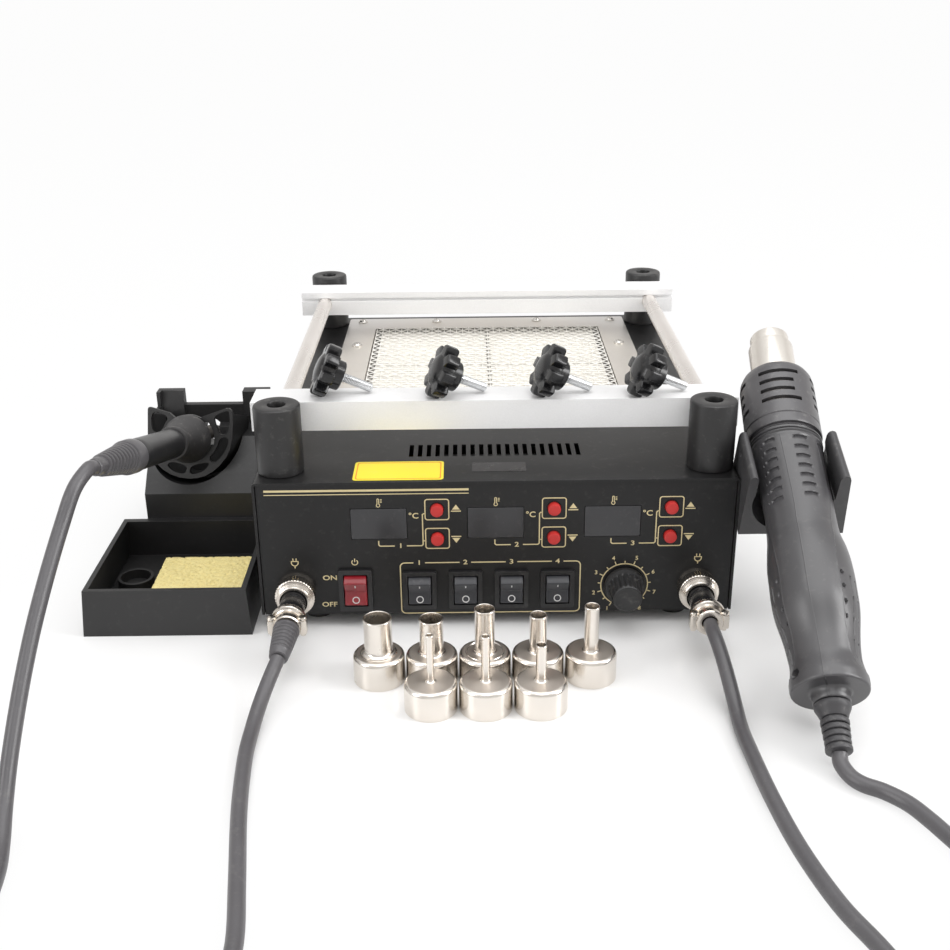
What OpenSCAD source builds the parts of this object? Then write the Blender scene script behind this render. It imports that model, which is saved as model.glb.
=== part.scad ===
// Soldering and board-rework station with its iron stand, hot air gun and nozzles.
// The origin is on the bench under the middle of the whole set without its leads.
// X is to the right, Y is to the back and Z is up. All sizes are in millimetres.

/* [Main unit] */
// width of the cover on each side of the heater plate
side_edge = 22; // [22:0.5:30]
// depth of the case, front panel to back panel
unit_d = 256; // [230:1:280]
// height of the case without its feet
body_h = 65; // [60:1:76]
// thickness of the sheet steel
sheet = 1.2; // [0.8:0.1:1.6]
// height of each rubber foot
foot_h = 6.5; // [4:0.5:10]
// radius of each rubber foot
foot_r = 7; // [5:0.5:9]
// width of each vent slot in the top
vent_w = 2; // [1.4:0.1:2.6]

/* [Preheater] */
// outside width of the steel heater plate
plate_w = 168; // [150:1:176]
// outside depth of the steel heater plate
plate_d = 176; // [160:1:184]
// side of the square mesh opening
mesh_w = 134; // [110:1:140]
// diameter of the mesh wire
wire_d = 0.8; // [0.6:0.1:1.2]

/* [Board clamp] */
// radius of each corner post
post_r = 10.3; // [8.5:0.1:11]
// height of each corner post
post_h = 31; // [28:0.5:36]
// diameter of each guide rod
rod_d = 8; // [6:0.5:8.5]
// radial clearance of a rail on its rods
rod_gap = 0.06; // [0.02:0.01:0.1]
// depth of a rail, front to back
rail_d = 18.5; // [16:0.5:20]
// height of a rail
rail_h = 13.5; // [12.5:0.5:15]
// radius of a clamp knob over its lobes
knob_r = 11.5; // [9:0.5:13]
// how far the front rail stands behind its resting place
front_rail_at = 0; // [0:1:80]

/* [Panel] */
// distance between two temperature displays
display_pitch = 51.3; // [49:0.5:54]
// radius of each round button
button_r = 2.8; // [2:0.1:3.2]
// how far a button stands out of the panel
button_out = 2.4; // [1.5:0.1:3]
// distance between two of the small rocker switches
rocker_pitch = 20.55; // [19:0.25:22]
// tilt of a rocker each way from the middle
rocker_tilt = 11; // [7:0.5:12]
// radius of the air dial at the panel
dial_r = 9; // [8:0.1:10.5]
// length of the air dial
dial_len = 14; // [11:0.5:18]

/* [Iron stand] */
// width of the tray on the bench
tray_w = 76; // [68:1:80]
// height of the tray
tray_h = 22.3; // [18:0.5:26]
// length of the iron's smooth handle
handle_len = 58; // [48:1:70]
// radius of the iron's smooth handle
handle_r = 7.2; // [6:0.1:8.5]
// radius of the iron's flared grip
flare_r = 12; // [10.5:0.1:12.5]

/* [Hot air gun] */
// radius of the steel air tube, which the nozzles fit
tube_r = 10.2; // [9.4:0.1:10.5]
// radius of the collar around the tube
collar_r = 16.6; // [15:0.1:18]
// radial clearance of a nozzle cup over the tube
cup_gap = 0.15; // [0.05:0.05:0.3]
// height of the cup part of each nozzle
cup_h = 15; // [12:0.5:18]

/* [Leads] */
// diameter of each lead
lead_d = 6; // [5:0.25:6.5]
// sides of each lead
lead_sides = 12; // [8:1:12]

/* [Hidden] */
unit_w = plate_w + 2 * side_edge;
half_w = unit_w / 2;
z_base = foot_h;
z_top = foot_h + body_h;
in_w = unit_w / 2 - sheet - 0.3;
panel_k = body_h / 65;
z_disp = z_base + 44.8 * panel_k;
z_row = z_base + 12.1 * panel_k;
z_sock = z_base + 12.5 * panel_k;
plate_y = unit_d - 5 - plate_d / 2;
post_gap = 0.6;
post_x = plate_w / 2 + post_gap + post_r;
post_y0 = post_r + 4;
post_y1 = unit_d - post_r - 2.6;
rod_z = z_top + 20.5;
rail_z = rod_z - rail_h / 2 + 0.5;
rail_y0 = post_y0 + post_r + 0.5 + front_rail_at;
rail_y1 = post_y1 - post_r - 1.6 - rail_d;
disp_x = [-display_pitch - 0.3, -0.3, display_pitch - 0.3];
row_x0 = -34.4;
rocker_y = 0.6;
dial_x = 57.3;
sock_x = half_w - 16.3;
power_x = 26.65 - sock_x;
spread = half_w - 106;
inlet_x = half_w - 46;
cup_r = tube_r + cup_gap + 0.5;
lead_r = lead_d / 2;
eps = 0.01;
stand_end = -half_w - 4 - tray_w;
holder_end = half_w + 46;
boot_end = -111.8;
inlet_end = unit_d + 3;

// everything is built from the middle of the front panel, and moved here to the origin
module placed() {
  translate([-(stand_end + holder_end) / 2, -(boot_end + inlet_end) / 2, 0])
    children();
}

// a plate in the XZ plane with round corners, from the front y to the back y
module panel_block(w, h, r, y0, y1) {
  translate([0, y1, 0])
    rotate([90, 0, 0])
      linear_extrude(y1 - y0)
        round_rect(w, h, r);
}

// a rectangle with round corners about the origin
module round_rect(w, h, r) {
  square([w - 2 * r, h], center = true);
  square([w, h - 2 * r], center = true);
  for (sx = [-1, 1], sy = [-1, 1])
    translate([sx * (w / 2 - r), sy * (h / 2 - r)])
      circle(r = r, $fn = 32);
}

// a cylinder that points to the front, starting at the given y
module to_front(y, len, r, r2 = -1) {
  translate([0, y, 0])
    rotate([90, 0, 0])
      cylinder(h = len, r1 = r, r2 = r2 < 0 ? r : r2, $fn = 48);
}

// the bottom, front panel and back panel, folded from one sheet
module chassis() {
  placed() color([0.06, 0.06, 0.065])
    difference() {
      union() {
        translate([-in_w, 0, z_base])
          cube([2 * in_w, unit_d, sheet]);
        translate([-in_w, 0, z_base])
          cube([2 * in_w, sheet, body_h - sheet - 0.3]);
        translate([-in_w, unit_d - sheet, z_base])
          cube([2 * in_w, sheet, body_h - sheet - 0.3]);
        for (s = [-1, 1])
          translate([s * (in_w - sheet / 2) - sheet / 2, 2, z_base])
            cube([sheet, unit_d - 4, 11]);
      }
      for (x = disp_x)
        translate([x, 0, z_disp])
          panel_block(24.9, 14.9, 0.6, -1, sheet + 1);
      for (x = disp_x, s = [-1, 1])
        translate([x + 25.6, 0, z_disp - 0.4 + s * 7])
          to_front(sheet + 1, sheet + 2, button_r + 0.35);
      translate([power_x, 0, z_row + 0.4])
        panel_block(13.3, 19.3, 0.5, -1, sheet + 1);
      for (i = [0:3])
        translate([row_x0 + i * rocker_pitch, 0, z_row])
          panel_block(13.3, 17.3, 0.5, -1, sheet + 1);
      translate([dial_x, 0, z_row + 1.1])
        to_front(sheet + 1, sheet + 2, 3.8);
      for (s = [-1, 1])
        translate([s * sock_x, 0, z_sock])
          to_front(sheet + 1, sheet + 2, 8.1);
      translate([inlet_x, unit_d, z_base + 24])
        panel_block(27.6, 20, 2, -sheet - 1, 1);
      for (i = [0:11])
        translate([-62 + i * 8, unit_d, z_base + 30])
          panel_block(3, 26, 1.4, -sheet - 1, 1);
      for (i = [0:9])
        translate([-36 + i * 8, unit_d / 2 - 20, z_base - 1])
          cube([3, 40, sheet + 2]);
    }
}

// the top and the two sides, folded from one sheet and lapped over the panels
module top_cover() {
  placed() color([0.05, 0.05, 0.055])
    difference() {
      translate([0, unit_d + 0.8, 0])
        rotate([90, 0, 0])
          linear_extrude(unit_d + 1.6)
            cover_profile();
      translate([-(plate_w - 20) / 2, plate_y - (plate_d - 24) / 2, z_top - 5])
        cube([plate_w - 20, plate_d - 24, 10]);
      for (i = [0:19])
        translate([-38 + i * 4 - vent_w / 2, 28, z_top - 5])
          cube([vent_w, 14, 10]);
      for (s = [-1, 1], y = [30, unit_d / 2, unit_d - 30])
        translate([s * half_w, y, z_base + 6])
          rotate([0, 90, 0])
            cylinder(h = 10, r = 1.7, center = true, $fn = 32);
      for (s = [-1, 1], i = [0:7])
        translate([s * (half_w - 0.6) - 2, unit_d / 2 - 28 + i * 8 - 1.25, z_base + 24])
          cube([4, 2.5, 24]);
    }
}

// outline of the cover across the case
module cover_profile() {
  difference() {
    union() {
      translate([-half_w, z_base + 0.3])
        square([unit_w, body_h - 2.3]);
      translate([-half_w + 2, z_base + 3])
        square([unit_w - 4, body_h - 3]);
      for (s = [-1, 1])
        translate([s * (half_w - 2), z_top - 2])
          circle(r = 2, $fn = 32);
    }
    translate([-half_w + sheet, z_base - 1])
      square([unit_w - 2 * sheet, body_h - sheet + 1]);
  }
}

// four feet with the screw heads that hold them
module rubber_feet() {
  placed() color([0.05, 0.05, 0.05])
    for (s = [-1, 1], y = [14.8, unit_d - 14.8])
      translate([s * (half_w - 24), y, 0])
        difference() {
          cylinder(h = foot_h, r = foot_r, $fn = 64);
          translate([0, 0, -1])
            cylinder(h = 3, r = 3, $fn = 48);
        }
}

// the steel frame around the mesh, screwed on the cover
module heater_plate() {
  placed() color([0.62, 0.6, 0.57])
    difference() {
      translate([0, plate_y, z_top])
        linear_extrude(0.8)
          round_rect(plate_w, plate_d, 1.5);
      translate([-mesh_w / 2, plate_y - mesh_w / 2, z_top - 1])
        cube([mesh_w, mesh_w, 3]);
    }
}

// two crossed layers of straight wire
module wire_mesh() {
  n = 33;
  pitch = (mesh_w - 2) / n;
  placed() color([0.8, 0.8, 0.78])
    for (i = [0:n]) {
      translate([-(mesh_w - 2) / 2 + i * pitch, plate_y - mesh_w / 2 + 0.4, z_top + 0.1])
        rotate([-90, 0, 0])
          cylinder(h = mesh_w - 0.8, d = wire_d, $fn = 16);
      translate([-mesh_w / 2 + 0.4, plate_y - (mesh_w - 2) / 2 + i * pitch, z_top + wire_d + 0.12])
        rotate([0, 90, 0])
          cylinder(h = mesh_w - 0.8, d = wire_d, $fn = 16);
    }
}

// four square emitter tiles in a steel pan that hangs under the plate
module ceramic_heater() {
  t = (mesh_w - 10) / 2;
  placed() color([0.93, 0.92, 0.88])
    for (sx = [-1, 1], sy = [-1, 1])
      translate([sx * (t / 2 + 1), plate_y + sy * (t / 2 + 1), z_top - 12])
        difference() {
          translate([-t / 2, -t / 2, 0])
            cube([t, t, 11]);
          for (i = [1:6])
            translate([-t / 2 - 1, -t / 2 + i * t / 7 - 1, 9])
              cube([t + 2, 2, 4]);
        }
  placed() color([0.66, 0.66, 0.66])
    translate([0, plate_y, z_top - 26])
      difference() {
        translate([-mesh_w / 2 - 3, -mesh_w / 2 - 3, 0])
          cube([mesh_w + 6, mesh_w + 6, 25.8]);
        translate([-mesh_w / 2 - 2, -mesh_w / 2 - 2, 13.8])
          cube([mesh_w + 4, mesh_w + 4, 20]);
        translate([-mesh_w / 2 - 2, -mesh_w / 2 - 2, 1])
          cube([mesh_w + 4, mesh_w / 2 - 3, 12]);
        translate([-mesh_w / 2 - 2, 5, 1])
          cube([mesh_w + 4, mesh_w / 2 - 3, 12]);
      }
}

// pan heads around the heater plate
module plate_screws() {
  xs = plate_w / 2 - 8.3;
  yb = plate_d / 2 - 8;
  placed() color([0.78, 0.78, 0.76])
    for (p = [[-xs, yb], [-30.6, yb], [30.6, yb], [xs, yb], [-xs, 32], [xs, 32],
              [-xs, -32], [xs, -32], [-xs, -yb], [-30.6, -yb], [30.6, -yb], [xs, -yb]])
      translate([p[0], plate_y + p[1], z_top + 0.8])
        difference() {
          union() {
            cylinder(h = 0.8, r = 2.9, $fn = 32);
            cylinder(h = 1.7, r1 = 2.9, r2 = 1.8, $fn = 32);
          }
          translate([-0.4, -1.5, 0.9])
            cube([0.8, 3, 2]);
          translate([-1.5, -0.4, 0.9])
            cube([3, 0.8, 2]);
        }
}

// round posts that carry the rods, screwed down through their top holes
module corner_posts() {
  placed() color([0.05, 0.05, 0.05])
    for (s = [-1, 1])
      translate([s * post_x, 0, 0]) {
        one_post(post_y0, 1);
        one_post(post_y1, -1);
      }
}

module one_post(y, side) {
  difference() {
    translate([0, y, z_top])
      cylinder(h = post_h, r = post_r, $fn = 96);
    translate([0, y, z_top + post_h - 5])
      cylinder(h = 6, r = 3.9, $fn = 64);
    translate([0, y + side * (post_r + 3), rod_z])
      rotate([side * 90, 0, 0])
        cylinder(h = post_r + 9, r = rod_d / 2 + 0.1, $fn = 64);
  }
}

// two ground rods between the front and back posts
module guide_rods() {
  placed() color([0.75, 0.74, 0.72])
    for (s = [-1, 1])
      translate([s * post_x, post_y0 - 5.5, rod_z])
        rotate([-90, 0, 0])
          cylinder(h = post_y1 - post_y0 + 11, r = rod_d / 2, $fn = 64);
}

// a rail with a board ledge on its inner face, the face is on the +Y side
module rail_bar() {
  difference() {
    rotate([90, 0, 90])
      translate([0, 0, -half_w - 2.3])
        linear_extrude(unit_w + 4.6)
          difference() {
            square([rail_d, rail_h]);
            translate([rail_d - 2.2, rail_h - 5.2])
              square([3, 1.8]);
          }
    for (s = [-1, 1])
      translate([s * post_x, -1, rod_z - rail_z])
        rotate([-90, 0, 0])
          cylinder(h = rail_d + 2, r = rod_d / 2 + rod_gap, $fn = 64);
    for (s = [-1, 1])
      translate([s * 40, rail_d / 2, -1])
        cylinder(h = 5, r = 2.1, $fn = 32);
  }
}

module front_rail() {
  placed() color([0.72, 0.72, 0.73])
    translate([0, rail_y0, rail_z])
      rail_bar();
}

module back_rail() {
  placed() color([0.72, 0.72, 0.73])
    translate([0, rail_y1 + rail_d, rail_z])
      mirror([0, 1, 0])
        rail_bar();
}

// four loose star knobs that lie on the front rail
module clamp_knobs() {
  low = (knob_r - 2.9) * cos(22.5) + 2.9;
  tilt = atan((low - 2.2) / 22.8);
  placed() for (p = [[-72, 14], [-23.5, 10], [23, 8], [66.5, 12]])
    translate([p[0], rail_y0 + rail_d / 2, rail_z + rail_h + low * cos(tilt) + 6 * sin(tilt) + 0.05])
      rotate([0, 0, p[1]])
        rotate([0, 90 + tilt, 0])
          one_knob();
}

// the star head is about the origin and the stud points along +Z
module one_knob() {
  color([0.06, 0.06, 0.06])
    union() {
      linear_extrude(6)
        star(knob_r);
      rotate_extrude($fn = 48)
        polygon([[0, -2], [5.6, -2], [7, -1.2], [7.6, 0], [7.6, 1], [5.4, 5], [5.4, 11.5], [0, 11.5]]);
    }
  color([0.8, 0.8, 0.8])
    translate([0, 0, 11.5])
      cylinder(h = 17.3, r = 2.2, $fn = 32);
}

// eight round lobes about a disc
module star(r) {
  circle(r = r - 3.2, $fn = 48);
  for (i = [0:7])
    rotate(i * 45 + 22.5)
      translate([r - 2.9, 0])
        circle(r = 2.9, $fn = 24);
}

// a rocker seen from its side, its ends are arcs about the pivot
module rocker_shape(w, r) {
  rotate([90, 0, 90])
    translate([0, 0, -w / 2])
      linear_extrude(w)
        intersection() {
          circle(r = r, $fn = 96);
          polygon([[3, -r], [3, r], [-5.1, r], [-2.4, 0], [-5.1, -r]]);
        }
}

// the lower half is pressed in, which is the off position
module rocker_at(x, z, w, r) {
  translate([x, rocker_y, z])
    rotate([rocker_tilt, 0, 0])
      rocker_shape(w, r);
}

module power_rocker() {
  placed() color([0.8, 0.05, 0.06])
    rocker_at(power_x, z_row + 0.4, 10, 7.6);
}

module rocker_1() {
  placed() color([0.1, 0.1, 0.11])
    rocker_at(row_x0, z_row, 10, 7);
}

module rocker_2() {
  placed() color([0.1, 0.1, 0.11])
    rocker_at(row_x0 + rocker_pitch, z_row, 10, 7);
}

module rocker_3() {
  placed() color([0.1, 0.1, 0.11])
    rocker_at(row_x0 + 2 * rocker_pitch, z_row, 10, 7);
}

module rocker_4() {
  placed() color([0.1, 0.1, 0.11])
    rocker_at(row_x0 + 3 * rocker_pitch, z_row, 10, 7);
}

// the frame, case and tabs of one rocker switch
module switch_body(x, z, h, r) {
  translate([x, 0, z]) {
    difference() {
      union() {
        panel_block(15, h, 1, -1.8, 0);
        panel_block(12.8, h - 1.6, 0.5, -eps, 16);
      }
      panel_block(10.8, 2 * r + 0.7, 0.3, -3, 8.6);
    }
    for (dz = [-4, 4])
      translate([-2.4, 15.9, dz - 0.4])
        cube([4.8, 7, 0.8]);
  }
}

module switch_bodies() {
  placed() color([0.05, 0.05, 0.055]) {
    switch_body(power_x, z_row + 0.4, 20.6, 7.6);
    for (i = [0:3])
      switch_body(row_x0 + i * rocker_pitch, z_row, 18.6, 7);
  }
}

// a round button with the flange that keeps it behind the panel
module button_at(i, s) {
  color([0.85, 0.1, 0.1])
    translate([disp_x[i] + 25.6, 0, z_disp - 0.4 + s * 7]) {
      to_front(3.4, 3.4 + button_out - 0.4, button_r);
      to_front(eps - button_out + 0.4, 0.4, button_r, button_r - 0.4);
      to_front(4.4, 1.2, button_r + 0.9);
    }
}

module temp_button_1() {
  placed() button_at(0, 1);
}

module temp_button_2() {
  placed() button_at(0, -1);
}

module temp_button_3() {
  placed() button_at(1, 1);
}

module temp_button_4() {
  placed() button_at(1, -1);
}

module temp_button_5() {
  placed() button_at(2, 1);
}

module temp_button_6() {
  placed() button_at(2, -1);
}

// dark windows pressed into the panel
module display_windows() {
  placed() color([0.02, 0.02, 0.03, 0.9])
    for (x = disp_x)
      translate([x, 0, z_disp])
        panel_block(24.5, 14.5, 0.6, -0.3, 2);
}

// the display and key board behind the panel
module control_board() {
  placed() color([0.05, 0.25, 0.12]) {
    difference() {
      translate([-82, 8.6, z_disp - 14])
        cube([172, 1.6, 29]);
      for (x = [-78, 86])
        translate([x, 12, z_disp + 11])
          rotate([90, 0, 0])
            cylinder(h = 5, r = 1.6, $fn = 32);
    }
    for (x = disp_x)
      translate([x - 11, 2.3, z_disp - 6])
        cube([22, 6.4, 12]);
    for (x = disp_x, s = [-1, 1])
      translate([x + 25.6 - 3, 6.2, z_disp - 0.4 + s * 7 - 3])
        cube([6, 2.5, 6]);
    for (x = [-78, 86])
      translate([x, 8.7, z_disp + 11])
        rotate([90, 0, 0])
          difference() {
            cylinder(h = 8.7 - sheet, r = 3, $fn = 32);
            translate([0, 0, -1])
              cylinder(h = 5, r = 1.5, $fn = 32);
          }
    translate([dial_x, 0, z_row + 1.1]) {
      to_front(12, 8, 8);
      to_front(4.1, 2.7, 3.4);
    }
    translate([dial_x - 9, 8.6, z_row + 8])
      cube([18, 1.6, 12]);
  }
}

// the air dial, a skirted knob with a cone of grip
module dial_knob() {
  placed() color([0.06, 0.06, 0.065])
    translate([dial_x, 0, z_row + 1.1])
      difference() {
        union() {
          to_front(-0.6, 3.2, dial_r, dial_r - 0.5);
          to_front(-3.7, dial_len - 5.1, dial_r - 1.6, 6.6);
          to_front(eps - dial_len + 1.4, 1.4, 6.6, 5.4);
          to_front(1, 2, 3);
        }
        for (i = [0:11])
          rotate([0, i * 30, 0])
            translate([0, 0, dial_r - 0.6])
              rotate([90, 0, 0])
                translate([0, 0, 4.4])
                  cylinder(h = dial_len, r = 1.1, $fn = 16);
      }
}

// two round sockets with a panel nut in front and pins inside
module panel_sockets() {
  placed() color([0.75, 0.72, 0.68])
    for (s = [-1, 1])
      translate([s * sock_x, 0, z_sock]) {
        difference() {
          union() {
            to_front(0, 2.6, 8.75, 8.3);
            to_front(10, 17, 7.4);
            to_front(3.4, 2.2, 9.6);
            to_front(14, 4.1, 6.2);
          }
          to_front(6, 20, 6.7);
        }
        for (a = [0:72:359])
          translate([3.6 * cos(a), 0, 3.6 * sin(a)])
            to_front(6.1, 9, 0.8);
      }
}

// the plated ring that screws each plug on its socket
module coupling_ring() {
  difference() {
    union() {
      to_front(-3.1, 5.2, 9, 8.7);
      to_front(-8.2, 3.6, 8.5, 7.4);
    }
    to_front(-2, 8.2, 7.5);
    to_front(-9, 4, 5.9);
    for (i = [0:17])
      rotate([0, i * 20, 0])
        translate([0, -3, 9.3])
          rotate([90, 0, 0])
            cylinder(h = 4, r = 0.6, $fn = 16);
  }
}

module left_coupling_ring() {
  placed() color([0.78, 0.75, 0.7])
    translate([-sock_x, 0, z_sock])
      coupling_ring();
}

module right_coupling_ring() {
  placed() color([0.78, 0.75, 0.7])
    translate([sock_x, 0, z_sock])
      coupling_ring();
}

// the two plugs, each a black shell with a plated cord clamp
module plug_bodies() {
  placed() for (s = [-1, 1])
    translate([s * sock_x, 0, z_sock]) {
      color([0.05, 0.05, 0.055])
        difference() {
          union() {
            to_front(-7.2, 14.8, 5.5);
            to_front(-7.4, 1.6, 6.6);
            to_front(-21.9, 4, 6.3);
          }
          to_front(-6, 5, 5);
        }
      color([0.78, 0.75, 0.7]) {
        difference() {
          to_front(-25.8, 8.6, 7.8);
          for (dx = [-1, 1])
            translate([dx * 8, -38, -10])
              translate([dx * 0.6 - 2, 0, 0])
                cube([4, 9.5, 20]);
          to_front(-29, 8, lead_r + 0.1);
        }
        for (dx = [-1, 1])
          translate([dx * 6.9, -31.4, -4.6])
            cylinder(h = 9.2, r = 1.6, $fn = 32);
      }
    }
  placed() color([0.05, 0.05, 0.055])
    translate([-sock_x, -34.3, z_sock])
      rotate([103, 0, -5])
        difference() {
          union() {
            cylinder(h = 17.6, r1 = 5.6, r2 = 4, $fn = 48);
            for (i = [0:5])
              translate([0, 0, 2.5 + i * 2.4])
                cylinder(h = 1.2, r = 5.9 - i * 0.25, $fn = 48);
          }
          translate([0, 0, -3])
            cylinder(h = 3.6, r = 12, $fn = 48);
        }
}

// the mains transformer on the floor of the case
module transformer() {
  placed() color([0.3, 0.3, 0.3])
    translate([-55, plate_y - 10, z_base + sheet]) {
      difference() {
        translate([-26, -22, 0])
          cube([52, 44, 34]);
        for (s = [-1, 1])
          translate([s * 14 - 5, -23, 8])
            cube([10, 46, 18]);
      }
      for (s = [-1, 1])
        translate([-34 + (s + 1) * 30, -8, 0])
          cube([8.1, 16, 2]);
    }
  placed() color([0.85, 0.75, 0.2])
    translate([-55, plate_y - 10, z_base + sheet])
      for (s = [-1, 1])
        translate([s * 14 - 4.9, -28, 8.1])
          cube([9.8, 56, 17.8]);
}

// the mains inlet on the back panel
module mains_inlet() {
  placed() color([0.04, 0.04, 0.04])
    translate([inlet_x, unit_d, z_base + 24])
      difference() {
        union() {
          panel_block(31, 24, 2, 0, 3);
          panel_block(27.2, 19.6, 2, -18, eps);
        }
        panel_block(22, 14.5, 2, -14, 4);
      }
  placed() color([0.8, 0.78, 0.7])
    translate([inlet_x, unit_d, z_base + 24])
      for (p = [[-7, -1.5], [0, 2.5], [7, -1.5]])
        translate([p[0] - 1, -14.1, p[1] - 2])
          cube([2, 15, 4]);
}

// place a child on the axis of the iron, +Z is towards its lead
iron_at = [-half_w - 45.2, 84, 59.7];
iron_dir = [-0.1, -0.957, 0.272];

module on_iron() {
  translate(iron_at)
    rotate([0, acos(iron_dir[2] / norm(iron_dir)), atan2(iron_dir[1], iron_dir[0])])
      children();
}

// place a child on the axis of the gun, +Z is towards its mouth
gun_at = [half_w + 16.2, -87, 20];
gun_dir = [9.3, 166.5, 95.6];

module on_gun() {
  translate(gun_at)
    rotate([0, acos(gun_dir[2] / norm(gun_dir)), atan2(gun_dir[1], gun_dir[0])])
      children();
}

tray_x = stand_end + tray_w / 2;
block_x = -half_w - 9;

// a box whose four sides lean in by the given amounts at the top
module leaning_box(x0, x1, y0, y1, z0, z1, in_x, in_y) {
  intersection() {
    translate([0, y1, 0])
      rotate([90, 0, 0])
        linear_extrude(y1 - y0)
          polygon([[x0, z0], [x1, z0], [x1 - in_x, z1], [x0 + in_x, z1]]);
    translate([x0, 0, 0])
      rotate([90, 0, 90])
        linear_extrude(x1 - x0)
          polygon([[y0, z0], [y1, z0], [y1 - in_y, z1], [y0 + in_y, z1]]);
  }
}

// tray, body and back wall of the iron stand, one moulding
module stand_base() {
  tx0 = tray_x - tray_w / 2;
  tx1 = tray_x + tray_w / 2;
  placed() color([0.06, 0.06, 0.065]) {
    difference() {
      union() {
        leaning_box(tx0, tx1, -6.6, 71.4, 0, tray_h, 1.6, 1.4);
        translate([block_x - 58, 0, 0])
          rotate([90, 0, 90])
            linear_extrude(58)
              polygon([[69, 0], [138, 0], [138, 56], [96, 56], [79, 43], [71, 35.2],
                       [71, tray_h - 0.2], [69, tray_h - 0.2]]);
        translate([block_x - 58, 116, 50])
          cube([58, 4, 16]);
        for (x = [block_x - 58, block_x - 13.6])
          translate([x, 114, 60])
            cube([13.6, 7, 13.5]);
        for (x = [block_x - 58, block_x - 2.4])
          translate([x, 0, 0])
            rotate([90, 0, 90])
              linear_extrude(2.4)
                polygon([[82, 44], [98, 66], [118, 66], [118, 44]]);
      }
      leaning_box(tx0 + 2.4, tx1 - 2.4, -4.2, 68, 3, tray_h + 1, 1.6, 1.4);
      translate([block_x - 55.6, 74, -1])
        cube([53.2, 61.6, 20]);
      on_iron()
        translate([0, 0, -26.4])
          linear_extrude(60)
            funnel_shape(22.9, 30);
      on_iron()
        translate([0, 0, -58])
          cylinder(h = 60, r = 8, $fn = 48);
    }
    for (y = [12, 36])
      translate([tray_x - 24, y, 2.9])
        difference() {
          cylinder(h = 5, r = 8.5, $fn = 48);
          translate([0, 0, 0.2])
            cylinder(h = 6, r = 7, $fn = 48);
        }
    for (x = [-4, 11, 26])
      translate([tray_x + x - 1, 0, 2.9])
        cube([2, 42, 4.9]);
  }
}

// outline of the funnel across the iron, +X is down and +Y is to the right
module funnel_shape(r, up) {
  circle(r = r, $fn = 64);
  translate([-up, -r])
    square([up, 2 * r]);
}

module funnel_outer(gap) {
  hull() {
    translate([0, 0, -3 - gap])
      linear_extrude(3 + 2 * gap)
        funnel_shape(21.3 + gap, 16.5 + gap);
    translate([0, 0, -26 - gap])
      linear_extrude(0.1)
        funnel_shape(22.6 + gap, 14 + gap);
  }
}

// the moulded funnel that the grip of the iron rests in
module stand_funnel() {
  placed() color([0.06, 0.06, 0.065])
    on_iron()
      difference() {
        funnel_outer(0);
        hull() {
          translate([0, 0, -4])
            linear_extrude(0.9)
              funnel_shape(18.9, 14.1);
          translate([0, 0, -27])
            linear_extrude(0.1)
              funnel_shape(20.2, 11.6);
        }
        translate([0, 0, -5])
          cylinder(h = 7, r = flare_r - 0.9, $fn = 64);
        for (a = [-68, -22, 22, 68, 112, 158, 202])
          rotate([0, 0, a - 90])
            translate([0, 0, -5])
              linear_extrude(7)
                intersection() {
                  difference() {
                    circle(r = 18.6, $fn = 64);
                    circle(r = 13.6, $fn = 64);
                  }
                  polygon([[0, 0], [-6.4, 26], [6.4, 26]]);
                }
      }
}

// cellulose pad in the tray
module sponge() {
  placed() color([0.87, 0.7, 0.34])
    translate([tray_x - 11, -2.2, 8])
      cube([44, 46.5, 6]);
}

// flared rubber sleeve on the front of the handle
module iron_grip() {
  placed() color([0.05, 0.05, 0.055])
    on_iron()
      rotate_extrude($fn = 96)
        polygon([[6, 0.4], [flare_r - 1.5, 0.4], [flare_r, 1.6], [flare_r, 4], [flare_r - 1.4, 9],
                 [9, 15], [8.2, 20], [8.1, 26], [6, 26]]);
}

// smooth handle with the neck that carries the sleeve
module iron_handle() {
  placed() color([0.08, 0.08, 0.09])
    on_iron() {
      cylinder(h = 26.1, r = 5.95, $fn = 64);
      translate([0, 0, 26.1])
        cylinder(h = handle_len - 8, r1 = handle_r - 0.2, r2 = handle_r, $fn = 96);
    }
}

// steel barrel, its nut and the plated tip, all inside the funnel
module iron_barrel() {
  placed() color([0.72, 0.7, 0.68])
    on_iron() {
      translate([0, 0, -9])
        cylinder(h = 8.9, r = 6.4, $fn = 6);
      translate([0, 0, -40])
        cylinder(h = 31.1, r = 3.6, $fn = 48);
      translate([0, 0, -47])
        cylinder(h = 7.1, r = 2.4, $fn = 48);
      translate([0, 0, -54])
        cylinder(h = 7.1, r1 = 0.3, r2 = 2.4, $fn = 48);
    }
}

// ribbed rubber boot where the lead leaves the iron
module iron_boot() {
  z0 = 18.3 + handle_len;
  placed() color([0.05, 0.05, 0.055])
    on_iron() {
      translate([0, 0, z0])
        cylinder(h = 9, r1 = handle_r + 0.5, r2 = handle_r + 0.2, $fn = 64);
      translate([0, 0, z0 + 8.9])
        cylinder(h = 32.8, r1 = 5.6, r2 = 3.6, $fn = 48);
      for (i = [0:7])
        translate([0, 0, z0 + 11 + i * 3.6])
          cylinder(h = 1.9, r = 6.7 - i * 0.3, $fn = 48);
    }
}

// radius and sideways set of the gun handle at each station along its axis
gun_z = [-1.5, -1.2, -0.3, 3, 10, 16, 23, 32, 41, 49, 57, 63, 70, 81, 98, 119.4];
gun_r = [13.9, 14.8, 15.1, 15, 14.9, 15.35, 16.05, 17.05, 17.4, 17.4, 17.1, 16.35, 15.15, 14.7, 14.9,
         15.9];
gun_s = [3.6, 3.6, 3.6, 3.6, 3.45, 3.3, 3.25, 3.05, 2.85, 2.85, 2.65, 2.5, 2.1, 2.05, 1.2, 0];
// how far the lead leaves the gun to the side of its axis
gun_off = 3.6;

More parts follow.
